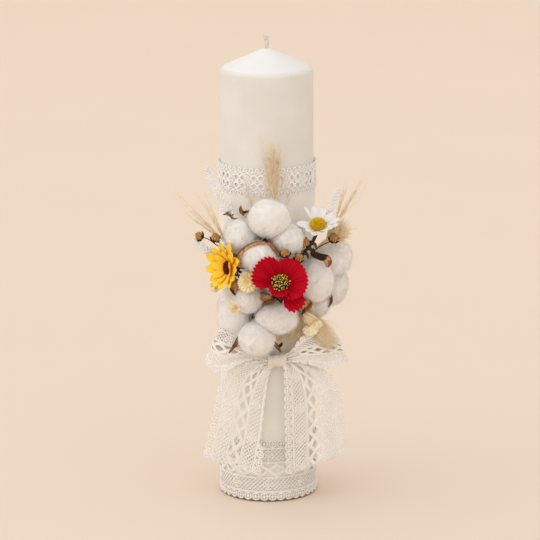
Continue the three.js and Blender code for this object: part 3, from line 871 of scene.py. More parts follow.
# Where each strip's two long edges run, from the knot outwards.
STRIPS = {
    "left_loop": dict(
        node="bow_left_loop", length=102.0, held="folded", ease=1.0, folds=loop_folds,
        low=[(2, -43.5, 113), (-10, -46, 115.5), (-20, -48, 113), (-31, -49, 107.5), (-40, -47.5, 105.5),
             (-46.5, -43.5, 112), (-45, -39.5, 117.5), (-30, -38, 117), (-12, -39, 115), (2, -41, 112)],
        high=[(2, -43, 117), (-10, -46.5, 126), (-20, -48, 135), (-30, -46, 141.5), (-35.5, -42.5, 141.5),
              (-33, -39.5, 140), (-24, -38.5, 134), (-14, -38.5, 126), (-6, -39.5, 120), (2, -41, 117)]),
    "right_loop": dict(
        node="bow_right_loop", length=112.0, held="folded", ease=1.0, folds=loop_folds,
        low=[(12, -43.5, 112.5), (22, -46, 112.5), (33, -46, 110.5), (44, -42, 107), (56, -35, 108),
             (60.5, -31, 109.5), (56, -27.5, 113), (43, -30, 113), (27, -37.5, 112), (12, -41, 112)],
        high=[(12, -43, 117.5), (18, -46, 122.5), (24, -46.5, 131), (36, -43.5, 137), (47, -38.5, 136),
              (53, -33.5, 129.5), (50, -30.5, 130), (37, -34, 130), (24, -39, 124), (12, -41, 117)]),
    "left_tail": dict(
        node="bow_left_tail", length=90.0, held="hung", ease=1.0, folds=left_tail_folds,
        under=left_tail_under,
        low=[(0, -43, 113), (-13, -42.5, 114), (-28, -43, 107), (-36, -43.5, 96), (-42, -44.5, 70),
             (-49.8, -45, 38.5)],
        high=[(5, -43.5, 111), (2.6, -44, 103), (1.6, -45, 82), (-1.6, -46, 50), (-6.2, -46.5, 24)]),
    "right_tail": dict(
        node="bow_right_tail", length=90.0, held="hung", ease=0.55, folds=right_tail_folds,
        low=[(11.5, -43.5, 112), (12.0, -44.5, 101), (12.2, -45.5, 82), (12.6, -46, 55), (13.3, -46.5, 24)],
        high=[(14, -42.5, 115), (27, -42, 112), (39, -39.5, 107), (49, -35, 99), (55.5, -31, 84),
              (58, -29.5, 60), (58.5, -29.5, 36)]),
}


def build_bow():
    for name, strip in STRIPS.items():
        lace = wide_lace(strip["length"])
        bag = Bag()
        weave(bag, lace, between(strip, lace))
        piece = bag.piece("lace_" + name, LACE, "lace", strip["node"])
    build_knot()


def build_knot():
    """A short band of satin, drawn tight round the middle of the bow."""
    centre = middle("bow_knot")
    turn = np.linspace(0, 2 * math.pi, 48, endpoint=False)[:, None]
    across = np.linspace(-1, 1, 21)[None, :]
    flare = 1 + 0.10 * across**2
    pinch = 0.28 * np.sin(across * 8 + 1.5 * np.sin(turn) + 0.6) * (1 - 0.5 * across**2)
    y = centre[1] - (3.2 * flare + pinch) * np.cos(turn)
    z = centre[2] - 0.2 + 0.11 * across * 7.2 + (4.3 * flare + pinch) * np.sin(turn)
    x = centre[0] + 7.2 * across + 0 * turn
    bag = Bag()
    sheet_of(bag, np.stack([x, y, z], axis=-1), 0.45, close_rows=True)
    knot = bag.piece("satin_knot", SATIN, "satin", "bow_knot")


# ---- cotton bolls --------------------------------------------------------------------------------
# Half of each lock's size before its neighbours press on it.
LOCK_SIZES = {
    "front": (14.2, 11, 12.2), "top": (15.8, 14, 14.3), "upper_left": (12.8, 12.5, 14),
    "upper_right": (13, 12, 13), "right_front": (13.6, 13, 17), "right_top": (14.4, 14, 14),
    "right_back": (12.5, 12, 15.5), "right_low": (10.8, 11, 10.8), "bottom": (14.2, 13, 13),
    "low_right": (16, 12.5, 11.8), "low_middle": (11.5, 11.5, 12.6), "low_left": (13.4, 12.5, 22.8),
    "hidden": (14, 10.5, 14),
}
# How much deeper than its node a lock sits.
LOCK_SINK = {"front": 3.5}
FIBRES = 4600


def lock_centre(name):
    """A lock's middle: its front, side and top are whole in the frame, where a neighbour has cut the rest."""
    low, high = corners("cotton_lock_" + name)
    half = np.array(LOCK_SIZES[name])
    x = (low[0] + high[0]) / 2
    if "right" in name:
        x = high[0] - half[0]
    elif "left" in name:
        x = low[0] + half[0]
    return np.array([x, low[1] + half[1] + LOCK_SINK.get(name, 0), high[2] - half[2]])


def pressed(points, centre, half, others):
    """Draws a lock's points in to where it meets its neighbours, so that they share a flat contact."""
    ray = points - centre
    for other_centre, other_half in others:
        far, near = np.ones(len(points)), np.full(len(points), 0.35)
        inside = np.linalg.norm((points - other_centre) / other_half, axis=1) < 1
        for _ in range(14):
            share = (far + near) / 2
            probe = centre + ray * share[:, None]
            own = np.linalg.norm((probe - centre) / half, axis=1)
            theirs = np.linalg.norm((probe - other_centre) / other_half, axis=1)
            too_far = own > theirs
            far = np.where(too_far, share, far)
            near = np.where(too_far, near, share)
        ray = np.where(inside[:, None], ray * far[:, None], ray)
        points = centre + ray
    return points


def build_cotton():
    shape, faces = ball(5)
    bodies = {name: (lock_centre(name), np.array(half)) for name, half in LOCK_SIZES.items()}
    for name, (centre, half) in bodies.items():
        rng = random_for(name)
        seed = rng.uniform(0, 50)
        surface = centre + shape * half
        lumps = 0.055 * noise_at(surface, 9.0, seed, 2) + 0.012 * noise_at(surface, 2.2, seed, 2)
        surface = centre + shape * half * (1 + lumps)[:, None]
        others = [body for other, body in bodies.items() if other != name]
        surface = pressed(surface, centre, half, others)
        away = np.linalg.norm(surface[:, :2], axis=1)
        hold = np.maximum(1, (WRAP_RADIUS + 0.3) / np.maximum(away, 1))
        surface[:, :2] *= hold[:, None]
        bag = Bag()
        bag.add(surface, faces, tone=0.5 + 0.5 * noise_at(surface, 6.0, seed))
        add_fuzz(bag, surface, centre, rng, FIBRES)
        bag.piece(f"cotton_{name}", COTTON, "cotton", "cotton_lock_" + name)


def add_fuzz(bag, surface, centre, rng, count):
    """Loose fibres that stand a little off a lock."""
    s = np.linspace(0, 1, 4)[:, None]
    for root in surface[rng.integers(0, len(surface), count)]:
        out = unit(root - centre)
        sideways = unit(np.cross(out, rng.normal(size=3)))
        reach = rng.uniform(1.0, 3.2)
        rise = rng.uniform(0.1, 0.9) ** 1.3 * reach
        path = root - out * 0.3 + sideways * reach * s + out * rise * np.sin(math.pi * 0.6 * s)
        tube(bag, path, [0.065, 0.06, 0.05, 0.02], 3, tone=rng.uniform(0.4, 1.0))


def bract(bag, spine, width, hollow, facing, tone, thick=0.9):
    """One dried, pointed, gutter-shaped bract along a spine."""
    rows, columns = 16, 9
    s = np.linspace(0, 1, rows)
    line = spline(spine, s)
    tangent = unit(np.gradient(line, axis=0))
    side = unit(np.cross(np.broadcast_to(unit(np.asarray(facing, float)), line.shape), tangent))
    out = np.cross(tangent, side)
    swell = np.sin(math.pi * np.clip(0.16 + 0.84 * s, 0, 1))[:, None] ** 0.75 + 0.02
    j = np.linspace(-1, 1, columns)[None, :]
    half = width / 2 * swell
    height = hollow * half * j**2 + 0.25 * np.cos(j * 3 * math.pi) * swell
    grid = line[:, None] + (half * j)[..., None] * side[:, None] + height[..., None] * out[:, None]
    sheet_of(bag, grid, thick, tone=np.tile(tone + 0.2 - 0.25 * np.abs(j[0]), 2 * rows))


def husk(bag, rim, root, dark, pale):
    """A piece of burr shell that runs from a dark, rolled rim to a pale root tucked into the cotton."""
    rows, columns = 30, 9
    curl, thick = 1.2, 0.6
    s, t = np.linspace(0, 1, rows), np.linspace(0, 1, columns)
    outer, inner = spline(rim, s)[:, None], spline(root, s)[:, None]
    share = t[None, :, None]
    bulge = np.sin(math.pi * t)[None, :] * (curl + 0.4 * np.sin(23 * s[:, None] + 5 * t[None, :]))
    grid = outer * (1 - share) + inner * share + bulge[..., None] * FRONT
    tone = dark + (pale - dark) * smoothstep(t / 0.2)
    sheet_of(bag, grid, thick, tone=np.tile(tone, 2 * rows))
    tube(bag, outer[:, 0], 0.5 - 0.25 * np.abs(2 * s - 1) ** 3, 7, tone=dark)


# The burrs' bracts, each with a spine, a width and a tone.
BRACTS = {
    "upper": [([(-14, -46.5, 226.5), (-17.5, -48, 228), (-19.6, -48.8, 230.5), (-19.5, -49, 234.2)],
               2.8, 0.35),
              ([(-17.5, -47.5, 227.8), (-14.5, -48.5, 227.4), (-10.5, -48.8, 229)], 4.4, 0.95),
              ([(-18, -48.8, 229.2), (-16.2, -49.4, 229.4), (-12.3, -49.4, 230.3)], 1.0, -0.2),
              ([(-1.5, -50, 207), (-1.6, -58, 209.5), (-1.6, -62, 212.2)], 5.0, -0.2),
              ([(-12, -41, 204), (-24, -42, 196), (-30, -40, 193)], 6, 0.3)],
    "middle": [([(-23.5, -52, 179), (-24, -55, 174.5), (-24, -55.5, 167.5)], 6.4, 0.5),
               ([(-28.2, -55.5, 174), (-26, -56.2, 170.3), (-24, -56.2, 167.2)], 1.4, -0.1),
               ([(-20, -49, 190), (-21.5, -51, 188), (-22.5, -51.5, 184)], 3.4, 0.0)],
    "lower": [([(-15, -52, 142), (-20.7, -54, 135.2), (-24.5, -53.5, 128.5), (-29.2, -51.5, 121.6)],
               3.0, 0.25),
              ([(-18, -50.5, 134), (-22, -52, 130), (-26, -51, 126.4)], 6.0, 0.85),
              ([(0.2, -55.5, 136.8), (3.8, -57, 131.7), (6.8, -56, 127.9), (9.9, -53, 122.4)], 2.6, 0.2),
              ([(7.2, -54.5, 127.0), (9.6, -53.5, 128.0), (10.8, -52.5, 129.8)], 1.8, -0.1),
              ([(1, -47.5, 135.5), (6, -49, 134), (10.8, -49, 132.5)], 8.0, 0.75),
              ([(-10, -42, 158), (-12, -50, 152.5), (-11, -53, 150.3)], 5, 0.0),
              ([(-7, -53, 167.5), (-2, -58.5, 166.5), (3, -60.5, 167.5)], 5.5, 0.5),
              ([(-3, -58, 161.0), (3, -61, 163.8), (9, -62.5, 166.4)], 2.2, 0.25),
              ([(4, -57, 168), (9, -62, 167), (10.5, -63, 163)], 6.5, -0.2)],
    "right": [([(44, -47, 194), (46.6, -48.6, 191.5), (45.4, -48.4, 186.8)], 2.4, 0.35),
              ([(45.0, -26, 167), (46.6, -30, 161.5), (47.6, -31, 157), (45.9, -30.5, 151.2)], 2.8, 0.2),
              ([(28.5, -43.5, 161.5), (29, -47.5, 157.5), (26.3, -48.2, 151)], 8.5, 0.6),
              ([(23.4, -46.5, 158.2), (27, -49, 154.4), (26, -49.2, 150.8)], 2.0, -0.15),
              ([(33, -46, 159), (29.5, -48.8, 155), (26.2, -49, 151.2)], 1.8, 0.2)],
}
# The burrs' husks, each with a rim, a root, and the tones of the two.
HUSKS = {
    "middle": [([(-24.6, -57.5, 191), (-22.6, -59.5, 197.7), (-20.3, -60.5, 202), (-17.0, -61.5, 205.2),
                 (-13.5, -62, 207.7), (-8.4, -62.5, 209.6), (-1.6, -63, 210.3)],
                [(-19.4, -57, 188.5), (-19.0, -57.5, 193.1), (-17.2, -58.3, 197.2), (-14.5, -59, 201.2),
                 (-11.0, -59.6, 204.3), (-6.6, -60, 206.5), (-1.8, -60, 207.6)], 0.25, 0.75),
               ([(0.4, -63, 210.1), (3.5, -63.2, 208.2), (6.7, -63, 204.1), (9.9, -62.5, 198.7)],
                [(0.0, -59, 207.8), (2.0, -59, 205.2), (4.8, -59, 201.2), (7.8, -59, 197.3)], 0.25, 0.5)],
    "right": [([(34.2, -48.5, 201.3), (35.8, -49.4, 198.6), (38.6, -50, 197.6), (42, -50, 196.7),
                (45.3, -49, 196.0)],
               [(31.9, -46.5, 197), (33.6, -48, 194.8), (37, -48.8, 193.2), (40.5, -48.8, 192.0),
                (43.8, -48, 192.3)], -0.35, -0.1),
              ([(45.2, -49, 195.7), (47.0, -48.4, 193.5), (46.6, -48, 190.8), (45.2, -47.6, 186.6)],
               [(41.0, -47.4, 192.2), (42.2, -47.2, 190.6), (43.2, -47, 188.8), (44, -46.8, 186.8)],
               0.4, 0.85)],
}
BURR_FACING = {"upper": (0, -1, 0.1), "middle": (0, -1, 0.2), "lower": (0, -1, 0), "right": (0.45, -0.9, 0)}
STAR_FACING = {"lower": (-0.1, -1, -0.05), "right": (0.86, -0.5, 0.02)}


def burr_star(bag, name):
    """The woody star that the locks sit in, with short bracts all round it."""
    facing = STAR_FACING[name]
    place = facing_frame(middle("boll_burr_" + name), facing)
    reach = 14.0
    for k in range(5):
        turn = 2 * math.pi * k / 5 + 0.4
        way = np.array([math.cos(turn), math.sin(turn), 0])
        spine = place([way * 1.5 + (0, 0, 0.5), way * reach * 0.6 + (0, 0, 0.2), way * reach + (0, 0, 3)])
        bract(bag, spine, reach * 0.7, 0.3, facing, 0.3, 1.0)


def build_burrs():
    for name, pieces in BRACTS.items():
        bag = Bag()
        if name in STAR_FACING:
            burr_star(bag, name)
        for spine, width, tone in pieces:
            bract(bag, spine, width, 0.35, BURR_FACING[name], tone)
        for rim, root, dark, pale in HUSKS.get(name, ()):
            husk(bag, rim, root, dark, pale)
        bag.piece(f"burr_{name}", BURR, "burr", "boll_burr_" + name)


def build_glue():
    """Flat beads of set glue on the sleeve, one behind each lock."""
    bag = Bag()
    shape, faces = ball(3)
    for name in LOCK_SIZES:
        centre = lock_centre(name)
        out = unit(centre * (1, 1, 0))
        side = np.cross(UP, out)
        size = np.array(LOCK_SIZES[name]) * 0.55
        spread = shape[:, :1] * side * size[0] + shape[:, 2:] * UP * size[2]
        spot = out * (WRAP_RADIUS + 0.5) + centre * (0, 0, 1) + spread
        spot[:, :2] *= ((WRAP_RADIUS + 0.5) / np.linalg.norm(spot[:, :2], axis=1))[:, None]
        bag.add(spot + shape[:, 1:2] * out * 1.1, faces, tone=0.5)
    bag.piece("glue_beads", GLUE, "glue", "glue_pad")


# ---- flowers -------------------------------------------------------------------------------------
def petal(bag, place, turn, start, length, width, flare, curl, cup, grooves, tone, blunt, twist=0.0,
          narrow=0.35, thick=0.28):
    """One stamped cloth petal, rising from the flower's face by flare and curling by curl."""
    rows, columns = 14, 11
    s = np.linspace(0, 1, rows)
    lean = flare + curl * s
    step = length / (rows - 1)
    out = start + np.concatenate([[0], np.cumsum(np.cos(lean[1:]))]) * step
    up = np.concatenate([[0], np.cumsum(np.sin(lean[1:]))]) * step
    half = width / 2 * (narrow + (1 - narrow) * smoothstep(s / 0.5))
    half = half * np.sqrt(np.maximum(1 - np.clip((s - 0.55) / 0.45, 0, 1) ** blunt, 0.0025))
    j = np.linspace(-1, 1, columns)
    side = half[:, None] * j[None, :]
    rise = up[:, None] + cup * half[:, None] * j[None, :] ** 2 + twist * s[:, None] * side
    rise = rise + grooves * np.cos(j[None, :] * 2.5 * math.pi) * smoothstep(s * 3)[:, None]
    flat = np.stack([out[:, None] + 0 * side, side, rise], axis=-1)
    sheet_of(bag, place(flat @ spin(turn)), thick, tone=tone)


def frill(bag, place, start, reach, height, middle_turn, spread, pleats, depth, teeth, tone, notch,
          rows=16, thick=0.3, round_off=0.26):
    """A broad pleated petal: a fan about a turn, spread radians either side, with a toothed rim.

    height(s, j) is how far it stands out of the flower's face.
    """
    s = np.linspace(0, 1, rows)[:, None]
    j = np.linspace(-1, 1, 72)[None, :]
    turn = middle_turn + spread * j
    saw = np.abs((j * teeth) % 1.0 - 0.5) * 2
    edge = 1 - round_off * np.abs(j) ** 3.5 - notch * saw
    out = start + (reach * edge - start) * s
    rise = height(s, j) + depth * np.sin(j * pleats * math.pi) * smoothstep(s * 1.6)
    grid = np.stack([out * np.cos(turn), out * np.sin(turn), rise], axis=-1)
    sheet_of(bag, place(grid), thick, tone=tone)


def florets(bag, place, radius, height, count, length, thick, rng, foot, spread=1.0):
    """Short stubby florets packed in a spiral over a dome."""
    for k in range(count):
        share = math.sqrt((k + 0.5) / count)
        turn = k * SEED_TURN
        x, y = radius * share * math.cos(turn), radius * share * math.sin(turn)
        z = foot + height * math.sqrt(max(0.0, 1 - share**2 * 0.95))
        lean = np.array([x * 0.11 * spread, y * 0.11 * spread, 1.0]) + rng.normal(0, 0.12, 3)
        tip = np.array([x, y, z]) + unit(lean) * length * rng.uniform(0.7, 1.2)
        path = np.linspace((x, y, z - 0.6), tip, 4)
        tube(bag, place(path), np.array([0.8, 0.95, 0.85, 0.35]) * thick, 5, tone=rng.uniform())


def dome(bag, place, radius, height, foot, segments=28, tone=0.3):
    turn = np.linspace(0, math.pi / 2, 8)
    profile = [(0, foot - 1)] + [(radius * math.cos(a), foot + height * math.sin(a)) for a in turn[:-1]]
    revolve(bag, profile + [(0, foot + height)], segments, place, tone=tone)


SUNFLOWER_FACING = (-0.87, -0.475, 0.13)
POPPY_FACING = (0.02, -0.86, 0.5)
DAISY_FACING = (0.02, -0.6, 0.8)


def flower_frame(node, facing, depth):
    """A flower's own frame. Its origin is its disc's middle, drawn back along its facing."""
    return facing_frame(middle(node) - unit(np.array(facing)) * depth, facing)


# The sunflower's rows of petals: how many, their width, their flare and their share of the full length.
SUNFLOWER_ROWS = [(13, 7.9, 0.0, 1.0), (9, 6.2, 0.2, 0.72)]


def build_sunflower():
    place = flower_frame("sunflower_disc", SUNFLOWER_FACING, 3.2)
    rng = random_for("sunflower")
    build_sunflower_petals(place, rng)
    build_sunflower_eye(place, rng)
    build_sunflower_cup(place, rng)


def build_sunflower_petals(place, rng):
    bag = Bag()
    for layer, (count, width, flare, share) in enumerate(SUNFLOWER_ROWS):
        for k in range(count):
            turn = 2 * math.pi * (k + 0.5 * layer) / count + rng.normal(0, 0.06)
            lean = 0.2 + 0.5 * (0.5 - 0.5 * math.cos(turn)) ** 2 + flare + rng.normal(0, 0.05)
            lean += 0.25 * layer * max(0.0, math.cos(turn)) ** 2
            length = (16.4 - 2.5 * math.cos(turn)) * share * rng.uniform(0.93, 1.05)
            petal(bag, place, turn, 2.4, length, width, lean, rng.uniform(-0.25, 0.2), 0.18, 0.24,
                  rng.uniform(), 1.9, rng.normal(0, 0.16), narrow=0.42)
    bag.piece("sunflower_head", SUNFLOWER, "sunflower_petal", "sunflower_petals")


def build_sunflower_eye(place, rng):
    bag = Bag()
    dome(bag, place, 4.6, 1.6, 2.0)
    florets(bag, place, 4.8, 1.6, 170, 0.8, 0.34, rng, 2.0)
    bag.piece("sunflower_eye", SUNFLOWER_DISC, "sunflower_disc", "sunflower_disc")


def build_sunflower_cup(place, rng):
    """The cup with its sepals and stem, and a tuft of small green leaves beside them."""
    bag = Bag()
    revolve(bag, [(0, -7), (1.2, -7), (2.2, -5), (4.6, -2.4), (5.0, -1.0), (3.5, -0.6), (0, -0.6)], 24, place)
    for k in range(11):
        petal(bag, place, 2 * math.pi * k / 11, 2.0, 7.5, 3.2, -0.3 + rng.normal(0, 0.15), 0.2, -0.2, 0.15,
              rng.uniform(), 1.1)
    stalk(bag, [place((0, 0, -6.5)), (-18, -44.5, 185.5), (-14, -39.5, 184)], 10, 0.9, 8)
    for _ in range(26):
        root = np.array([-22.2, -51, 185.5]) + rng.normal(0, 1, 3) * (1.2, 0.8, 3.2)
        way = unit(rng.normal(size=3) + (0, -0.8, 0))
        spine = [root, root + way * 1.6, root + way * 3.0 + 0.6 * UP]
        bract(bag, spine, 1.9, 0.3, FRONT, rng.uniform(0, 0.9), 0.35)
    bag.piece("sunflower_cup", GREEN, "flower_green", "sunflower_calyx")


# The poppy's fans: turn and half spread, reach, rise at the rim, droop of the edges, teeth and tone.
POPPY_FANS = [(0.24, 1.45, 21.2, 8.5, 0.6, 9.5, 0.3), (-0.95, 0.46, 25.4, 2.8, -1.0, 3.5, 0.6),
              (2.62, 0.93, 22.6, 9.0, 0.8, 6.5, 0.5), (-1.80, 0.90, 12.8, 7.5, 1.2, 4, 0.2)]


def build_poppy():
    place = flower_frame("poppy_centre", POPPY_FACING, 6.2)
    rng = random_for("poppy")
    bag = Bag()
    for number, fan in enumerate(POPPY_FANS):
        poppy_fan(bag, place, 0.35 * number, rng.uniform(0, 6), *fan)
    bag.piece("poppy_head", POPPY, "poppy_petal", "poppy_petals")
    build_poppy_button(place, rng)
    build_poppy_stamens(place, rng)
    build_poppy_cup(place, rng)


def poppy_fan(bag, place, lift, phase, turn, spread, reach, rise, droop, teeth, tone):
    """One pleated petal with a slow roll along its rim."""
    def height(s, j):
        roll = droop * j**2 * s**2 + 0.7 * np.sin(3.2 * j + phase) * s**1.5
        return 0.6 + lift + rise * s**1.2 + roll

    frill(bag, place, 1.5, reach, height, turn, spread, teeth * 1.5, 0.55, teeth, tone, 0.085)


def build_poppy_button(place, rng):
    """The dark middle, with blunt filaments all over it."""
    bag = Bag()
    dome(bag, place, 6.2, 3.0, 2.4, tone=0.0)
    count = 110
    for k in range(count):
        turn, share = k * SEED_TURN, math.sqrt((k + 0.5) / count)
        foot = np.array([6.0 * share * math.cos(turn), 6.0 * share * math.sin(turn), 3.0])
        tip = foot * (1.25, 1.25, 1) + (0, 0, 2.2 + 2.0 * (1 - share**2)) + rng.normal(0, 0.3, 3)
        tube(bag, place(np.linspace(foot, tip, 4)), [0.3, 0.3, 0.26, 0.16], 4, tone=rng.uniform(0, 0.3))
    bag.piece("poppy_button", GREEN, "flower_green")


def build_poppy_stamens(place, rng):
    """Small oval anthers, each turned its own way."""
    bag = Bag()
    anther, faces = ball(2)
    count = 56
    for k in range(count):
        turn, share = k * SEED_TURN + 1.0, math.sqrt((k + 0.5) / count)
        rise = 5.6 + 1.9 * (1 - share**2)
        spot = np.array([7.0 * share * math.cos(turn), 6.6 * share * math.sin(turn), rise])
        spot = spot + rng.normal(0, 0.35, 3)
        lean = rng.uniform(0, math.pi)
        size = rng.uniform(0.36, 0.54)
        grain = anther * (size * 1.7, size * 0.8, size)
        bag.add(place(spot + grain @ spin(lean)), faces, tone=rng.uniform())
    bag.piece("poppy_stamens", STAMEN, "poppy_stamens", "poppy_centre")


def build_poppy_cup(place, rng):
    """The cup with its sepals and stem."""
    bag = Bag()
    cup = [(0, -7.5), (1.2, -7.5), (2.4, -5.5), (4.4, -2.5), (4.8, -1.0), (3.0, -0.5), (0, -0.5)]
    revolve(bag, cup, 24, place)
    for k in range(7):
        petal(bag, place, 2 * math.pi * k / 7, 2.2, 8.5, 3.8, -0.35, -0.3, -0.2, 0.15, rng.uniform(), 1.1)
    stalk(bag, [place((0, 0, -7)), (6, -54, 165), (2, -44, 163), (0, -39.8, 163)], 12, 1.0, 8)
    bag.piece("poppy_cup", GREEN, "flower_green", "poppy_calyx")


# The daisy's petals: turn, length, width and lean of each, from the right hand round.
DAISY_PETALS = [(0.20, 15.0, 4.6, 0.30), (0.66, 12.8, 5.8, 0.30), (1.27, 14.2, 6.0, 0.26),
                (1.70, 15.6, 6.0, 0.26), (2.12, 16.6, 3.0, 0.36), (3.16, 13.4, 7.2, 0.33),
                (-2.45, 9.6, 5.6, 0.42), (-1.86, 10.6, 6.4, 0.45), (-1.38, 10.0, 6.0, 0.5),
                (-0.93, 9.6, 6.0, 0.58), (-0.48, 10.0, 5.4, 0.48), (-0.10, 12.4, 5.0, 0.28)]


def build_daisy():
    place = flower_frame("daisy_disc", DAISY_FACING, 4.0)
    rng = random_for("daisy")
    bag = Bag()
    for turn, length, width, lean in DAISY_PETALS:
        petal(bag, place, turn, 3.2, length, width, lean, rng.uniform(-0.15, 0.15), 0.3, 0.24,
              rng.uniform(), 2.0, rng.normal(0, 0.12), narrow=0.5)
    bag.piece("daisy_head", DAISY, "daisy_petal", "daisy_petals")
    bag = Bag()
    dome(bag, place, 5.2, 2.8, 1.4)
    florets(bag, place, 5.6, 3.0, 190, 1.7, 0.36, rng, 1.3, 3.0)
    bag.piece("daisy_eye", DAISY_DISC, "daisy_disc", "daisy_disc")
    bag = Bag()
    revolve(bag, [(0, -5), (0.9, -5), (1.6, -3.5), (3.6, -1.2), (3.8, -0.4), (0, -0.4)], 20, place)
    stalk(bag, [place((0, 0, -4.5)), (34, -41.5, 205), (27, -39.5, 196), (19, -38.2, 190)], 14, 1.3, 8)
    for k in range(3):
        root = np.array([33 - 3 * k, -42 + k, 203 - 4.0 * k])
        spine = [root, root + (2.5, -3, 0.5), root + (3.5, -4.5, -3)]
        bract(bag, spine, 2.2, 0.3, (0, -1, 0.3), 0.7, 0.4)
    bag.piece("daisy_stalk", GREEN, "flower_green", "daisy_stem")


# ---- pods and straw flowers ----------------------------------------------------------------------
POD_RADIUS = 3.4
# Each pod's middle, the way it points, and its stem.
PODS = {
    "upper": ((28.1, -52, 206.5), (-0.1, -0.75, 0.6), [(25, -44, 197), (20, -39.5, 190)]),
    "inner": ((13.2, -66, 202), (-0.1, -0.35, 0.95), [(13, -52, 190), (12, -40, 186)]),
    "outer": ((23.4, -60, 197), (0.25, -0.5, 0.85), [(20, -48, 187), (17, -39.5, 183)]),
    "right": ((49.7, -38, 206.5), (0.3, -0.6, 0.75), [(40, -39.5, 201), (33, -40, 196)]),
}
LEFT_PODS = [((-51.1, -38, 208.5), (-0.7, -0.3, 0.6)), ((-38.6, -43, 208.5), (0.2, -0.5, 0.85))]


def pod(bag, centre, axis, size=1.0):
    """A round flax pod with ten ribs and a pointed tip, held by dark sepals."""
    r = POD_RADIUS * size
    turn = np.linspace(-math.pi / 2, math.pi / 2, 15)
    side = [(r * math.cos(a) * 0.98, r * math.sin(a) * 0.95) for a in turn[1:-1]]
    profile = [(0, -r * 0.95)] + side + [(0.3, r), (0, r * 1.3)]

    def ribs(angle, share):
        return 1 + 0.05 * np.cos(10 * angle) * np.sin(math.pi * share)

    def seams(angle, share):
        return 0.35 + 0.75 * np.clip(np.abs(np.sin(5 * angle)) * 1.3, 0, 1) - 0.35 * share

    revolve(bag, profile, 60, facing_frame(centre, axis), ribs, tone=seams)
    foot = facing_frame(np.array(centre) - unit(np.array(axis, float)) * (r + 0.2), axis)
    for k in range(5):
        turn = 2 * math.pi * k / 5 + 0.3
        petal(bag, foot, turn, 0.5, r * 1.85, 2.8, 0.0, 1.5, 0.25, 0.1, -0.9, 1.2, thick=0.35)


def build_pods():
    for name, (head, axis, stem) in PODS.items():
        bag = Bag()
        pod(bag, head, axis)
        low = np.array(head) - unit(np.array(axis)) * POD_RADIUS * 0.9
        stalk(bag, [low] + stem, 12, 0.5, 7, 0.15)
        bag.piece(f"pod_{name}", POD, "flax_pod", "flax_pod_" + name)
    bag = Bag()
    for head, axis in LEFT_PODS:
        pod(bag, head, axis, 0.96)
    outer, inner = LEFT_PODS[0][0], LEFT_PODS[1][0]
    stem = [(-44, -39.5, 206.5), (-38, -41.5, 202.5), (-30, -42, 199), (-21, -37.5, 192)]
    stalk(bag, [outer] + stem, 12, 0.4, 7, 0.25)
    stalk(bag, [inner, (-36.5, -42.5, 205), (-32, -42, 200.5)], 12, 0.38, 7, 0.25)
    bag.piece("pod_sprig", POD, "flax_pod", "flax_sprig_left")


def straw_flower(name, centre, facing, layers, stem_path):
    """A papery flower of pleated, toothed rings; layers give each ring's reach, rim height and pleats."""
    place = facing_frame(centre, facing)
    rng = random_for(name)
    bag = Bag()
    for number, (reach, rim, pleats) in enumerate(layers):
        def height(s, j):
            return 0.35 * number + rim * s**1.4

        for k in range(2):
            turn = math.pi * k + 0.7 * number
            frill(bag, place, 0.25, reach, height, turn, math.pi / 2 * 1.06, pleats, 0.07 * reach + 0.15,
                  pleats, rng.uniform(), 0.12, rows=9, thick=0.22, round_off=0.0)
    widest = layers[0][0]
    dome(bag, place, widest * 0.14, widest * 0.12, 0.5, 10, -0.3)
    stalk(bag, [centre] + stem_path, 12, 0.38, 6, 0.9)
    bag.piece("straw_" + name, STRAW, "straw_flower", "straw_flower_" + name)


def build_rosette():
    """A small open straw flower of six upright petals round a hollow."""
    centre, facing = (-23.6, -56, 158.2), (-0.15, -0.85, 0.5)
    place = facing_frame(centre, facing)
    rng = random_for("rosette")
    bag = Bag()
    for k in range(6):
        petal(bag, place, 2 * math.pi * k / 6 + 0.3, 1.2, 5.2, 3.6, 0.95, -0.7, 0.5, 0.1,
              rng.uniform(0.2, 1), 2.2, rng.normal(0, 0.1), narrow=0.6, thick=0.25)
    dome(bag, place, 1.3, 0.8, 0.2, 10, -0.6)
    stem_path = [(-24, -53, 163), (-26.5, -51, 169), (-24, -44, 178), (-21, -37, 182)]
    stalk(bag, [centre] + stem_path, 12, 0.45, 6, 0.2)
    bag.piece("straw_rosette", STRAW, "straw_flower", "straw_flower_rosette")


def build_straw():
    straw_flower("pleated", (-14.4, -65, 179.4), (-0.15, -0.97, 0.15),
                 [(8.2, 1.0, 7), (7.3, 1.8, 7), (3.4, 1.4, 5)],
                 [(-13, -62, 178.8), (-9, -52, 178), (-7, -40, 178)])
    straw_flower("button", (-40.3, -46.5, 171.2), (-0.5, -0.85, 0.1),
                 [(4.3, -1.6, 5), (3.6, 0.2, 5), (2.2, 0.8, 4)],
                 [(-37, -43, 171.2), (-31, -38.5, 172), (-25, -33, 173)])
    build_rosette()
    straw_flower("low", (31.8, -46.5, 140.6), (-0.1, -0.6, 0.8),
                 [(6.6, -3.6, 6), (5.9, -5.0, 6), (4.4, -5.4, 5)],
                 [(30.5, -45.5, 143), (28, -44.5, 148), (24, -42, 153)])
    straw_flower("high", (37.5, -43.5, 144.0), (0.2, -0.5, 0.85),
                 [(4.8, -2.8, 5), (4.3, -4.2, 5), (3.0, -4.4, 4)],
                 [(35.5, -43, 146.5), (31, -43.5, 149.5), (25.5, -42, 153.5)])


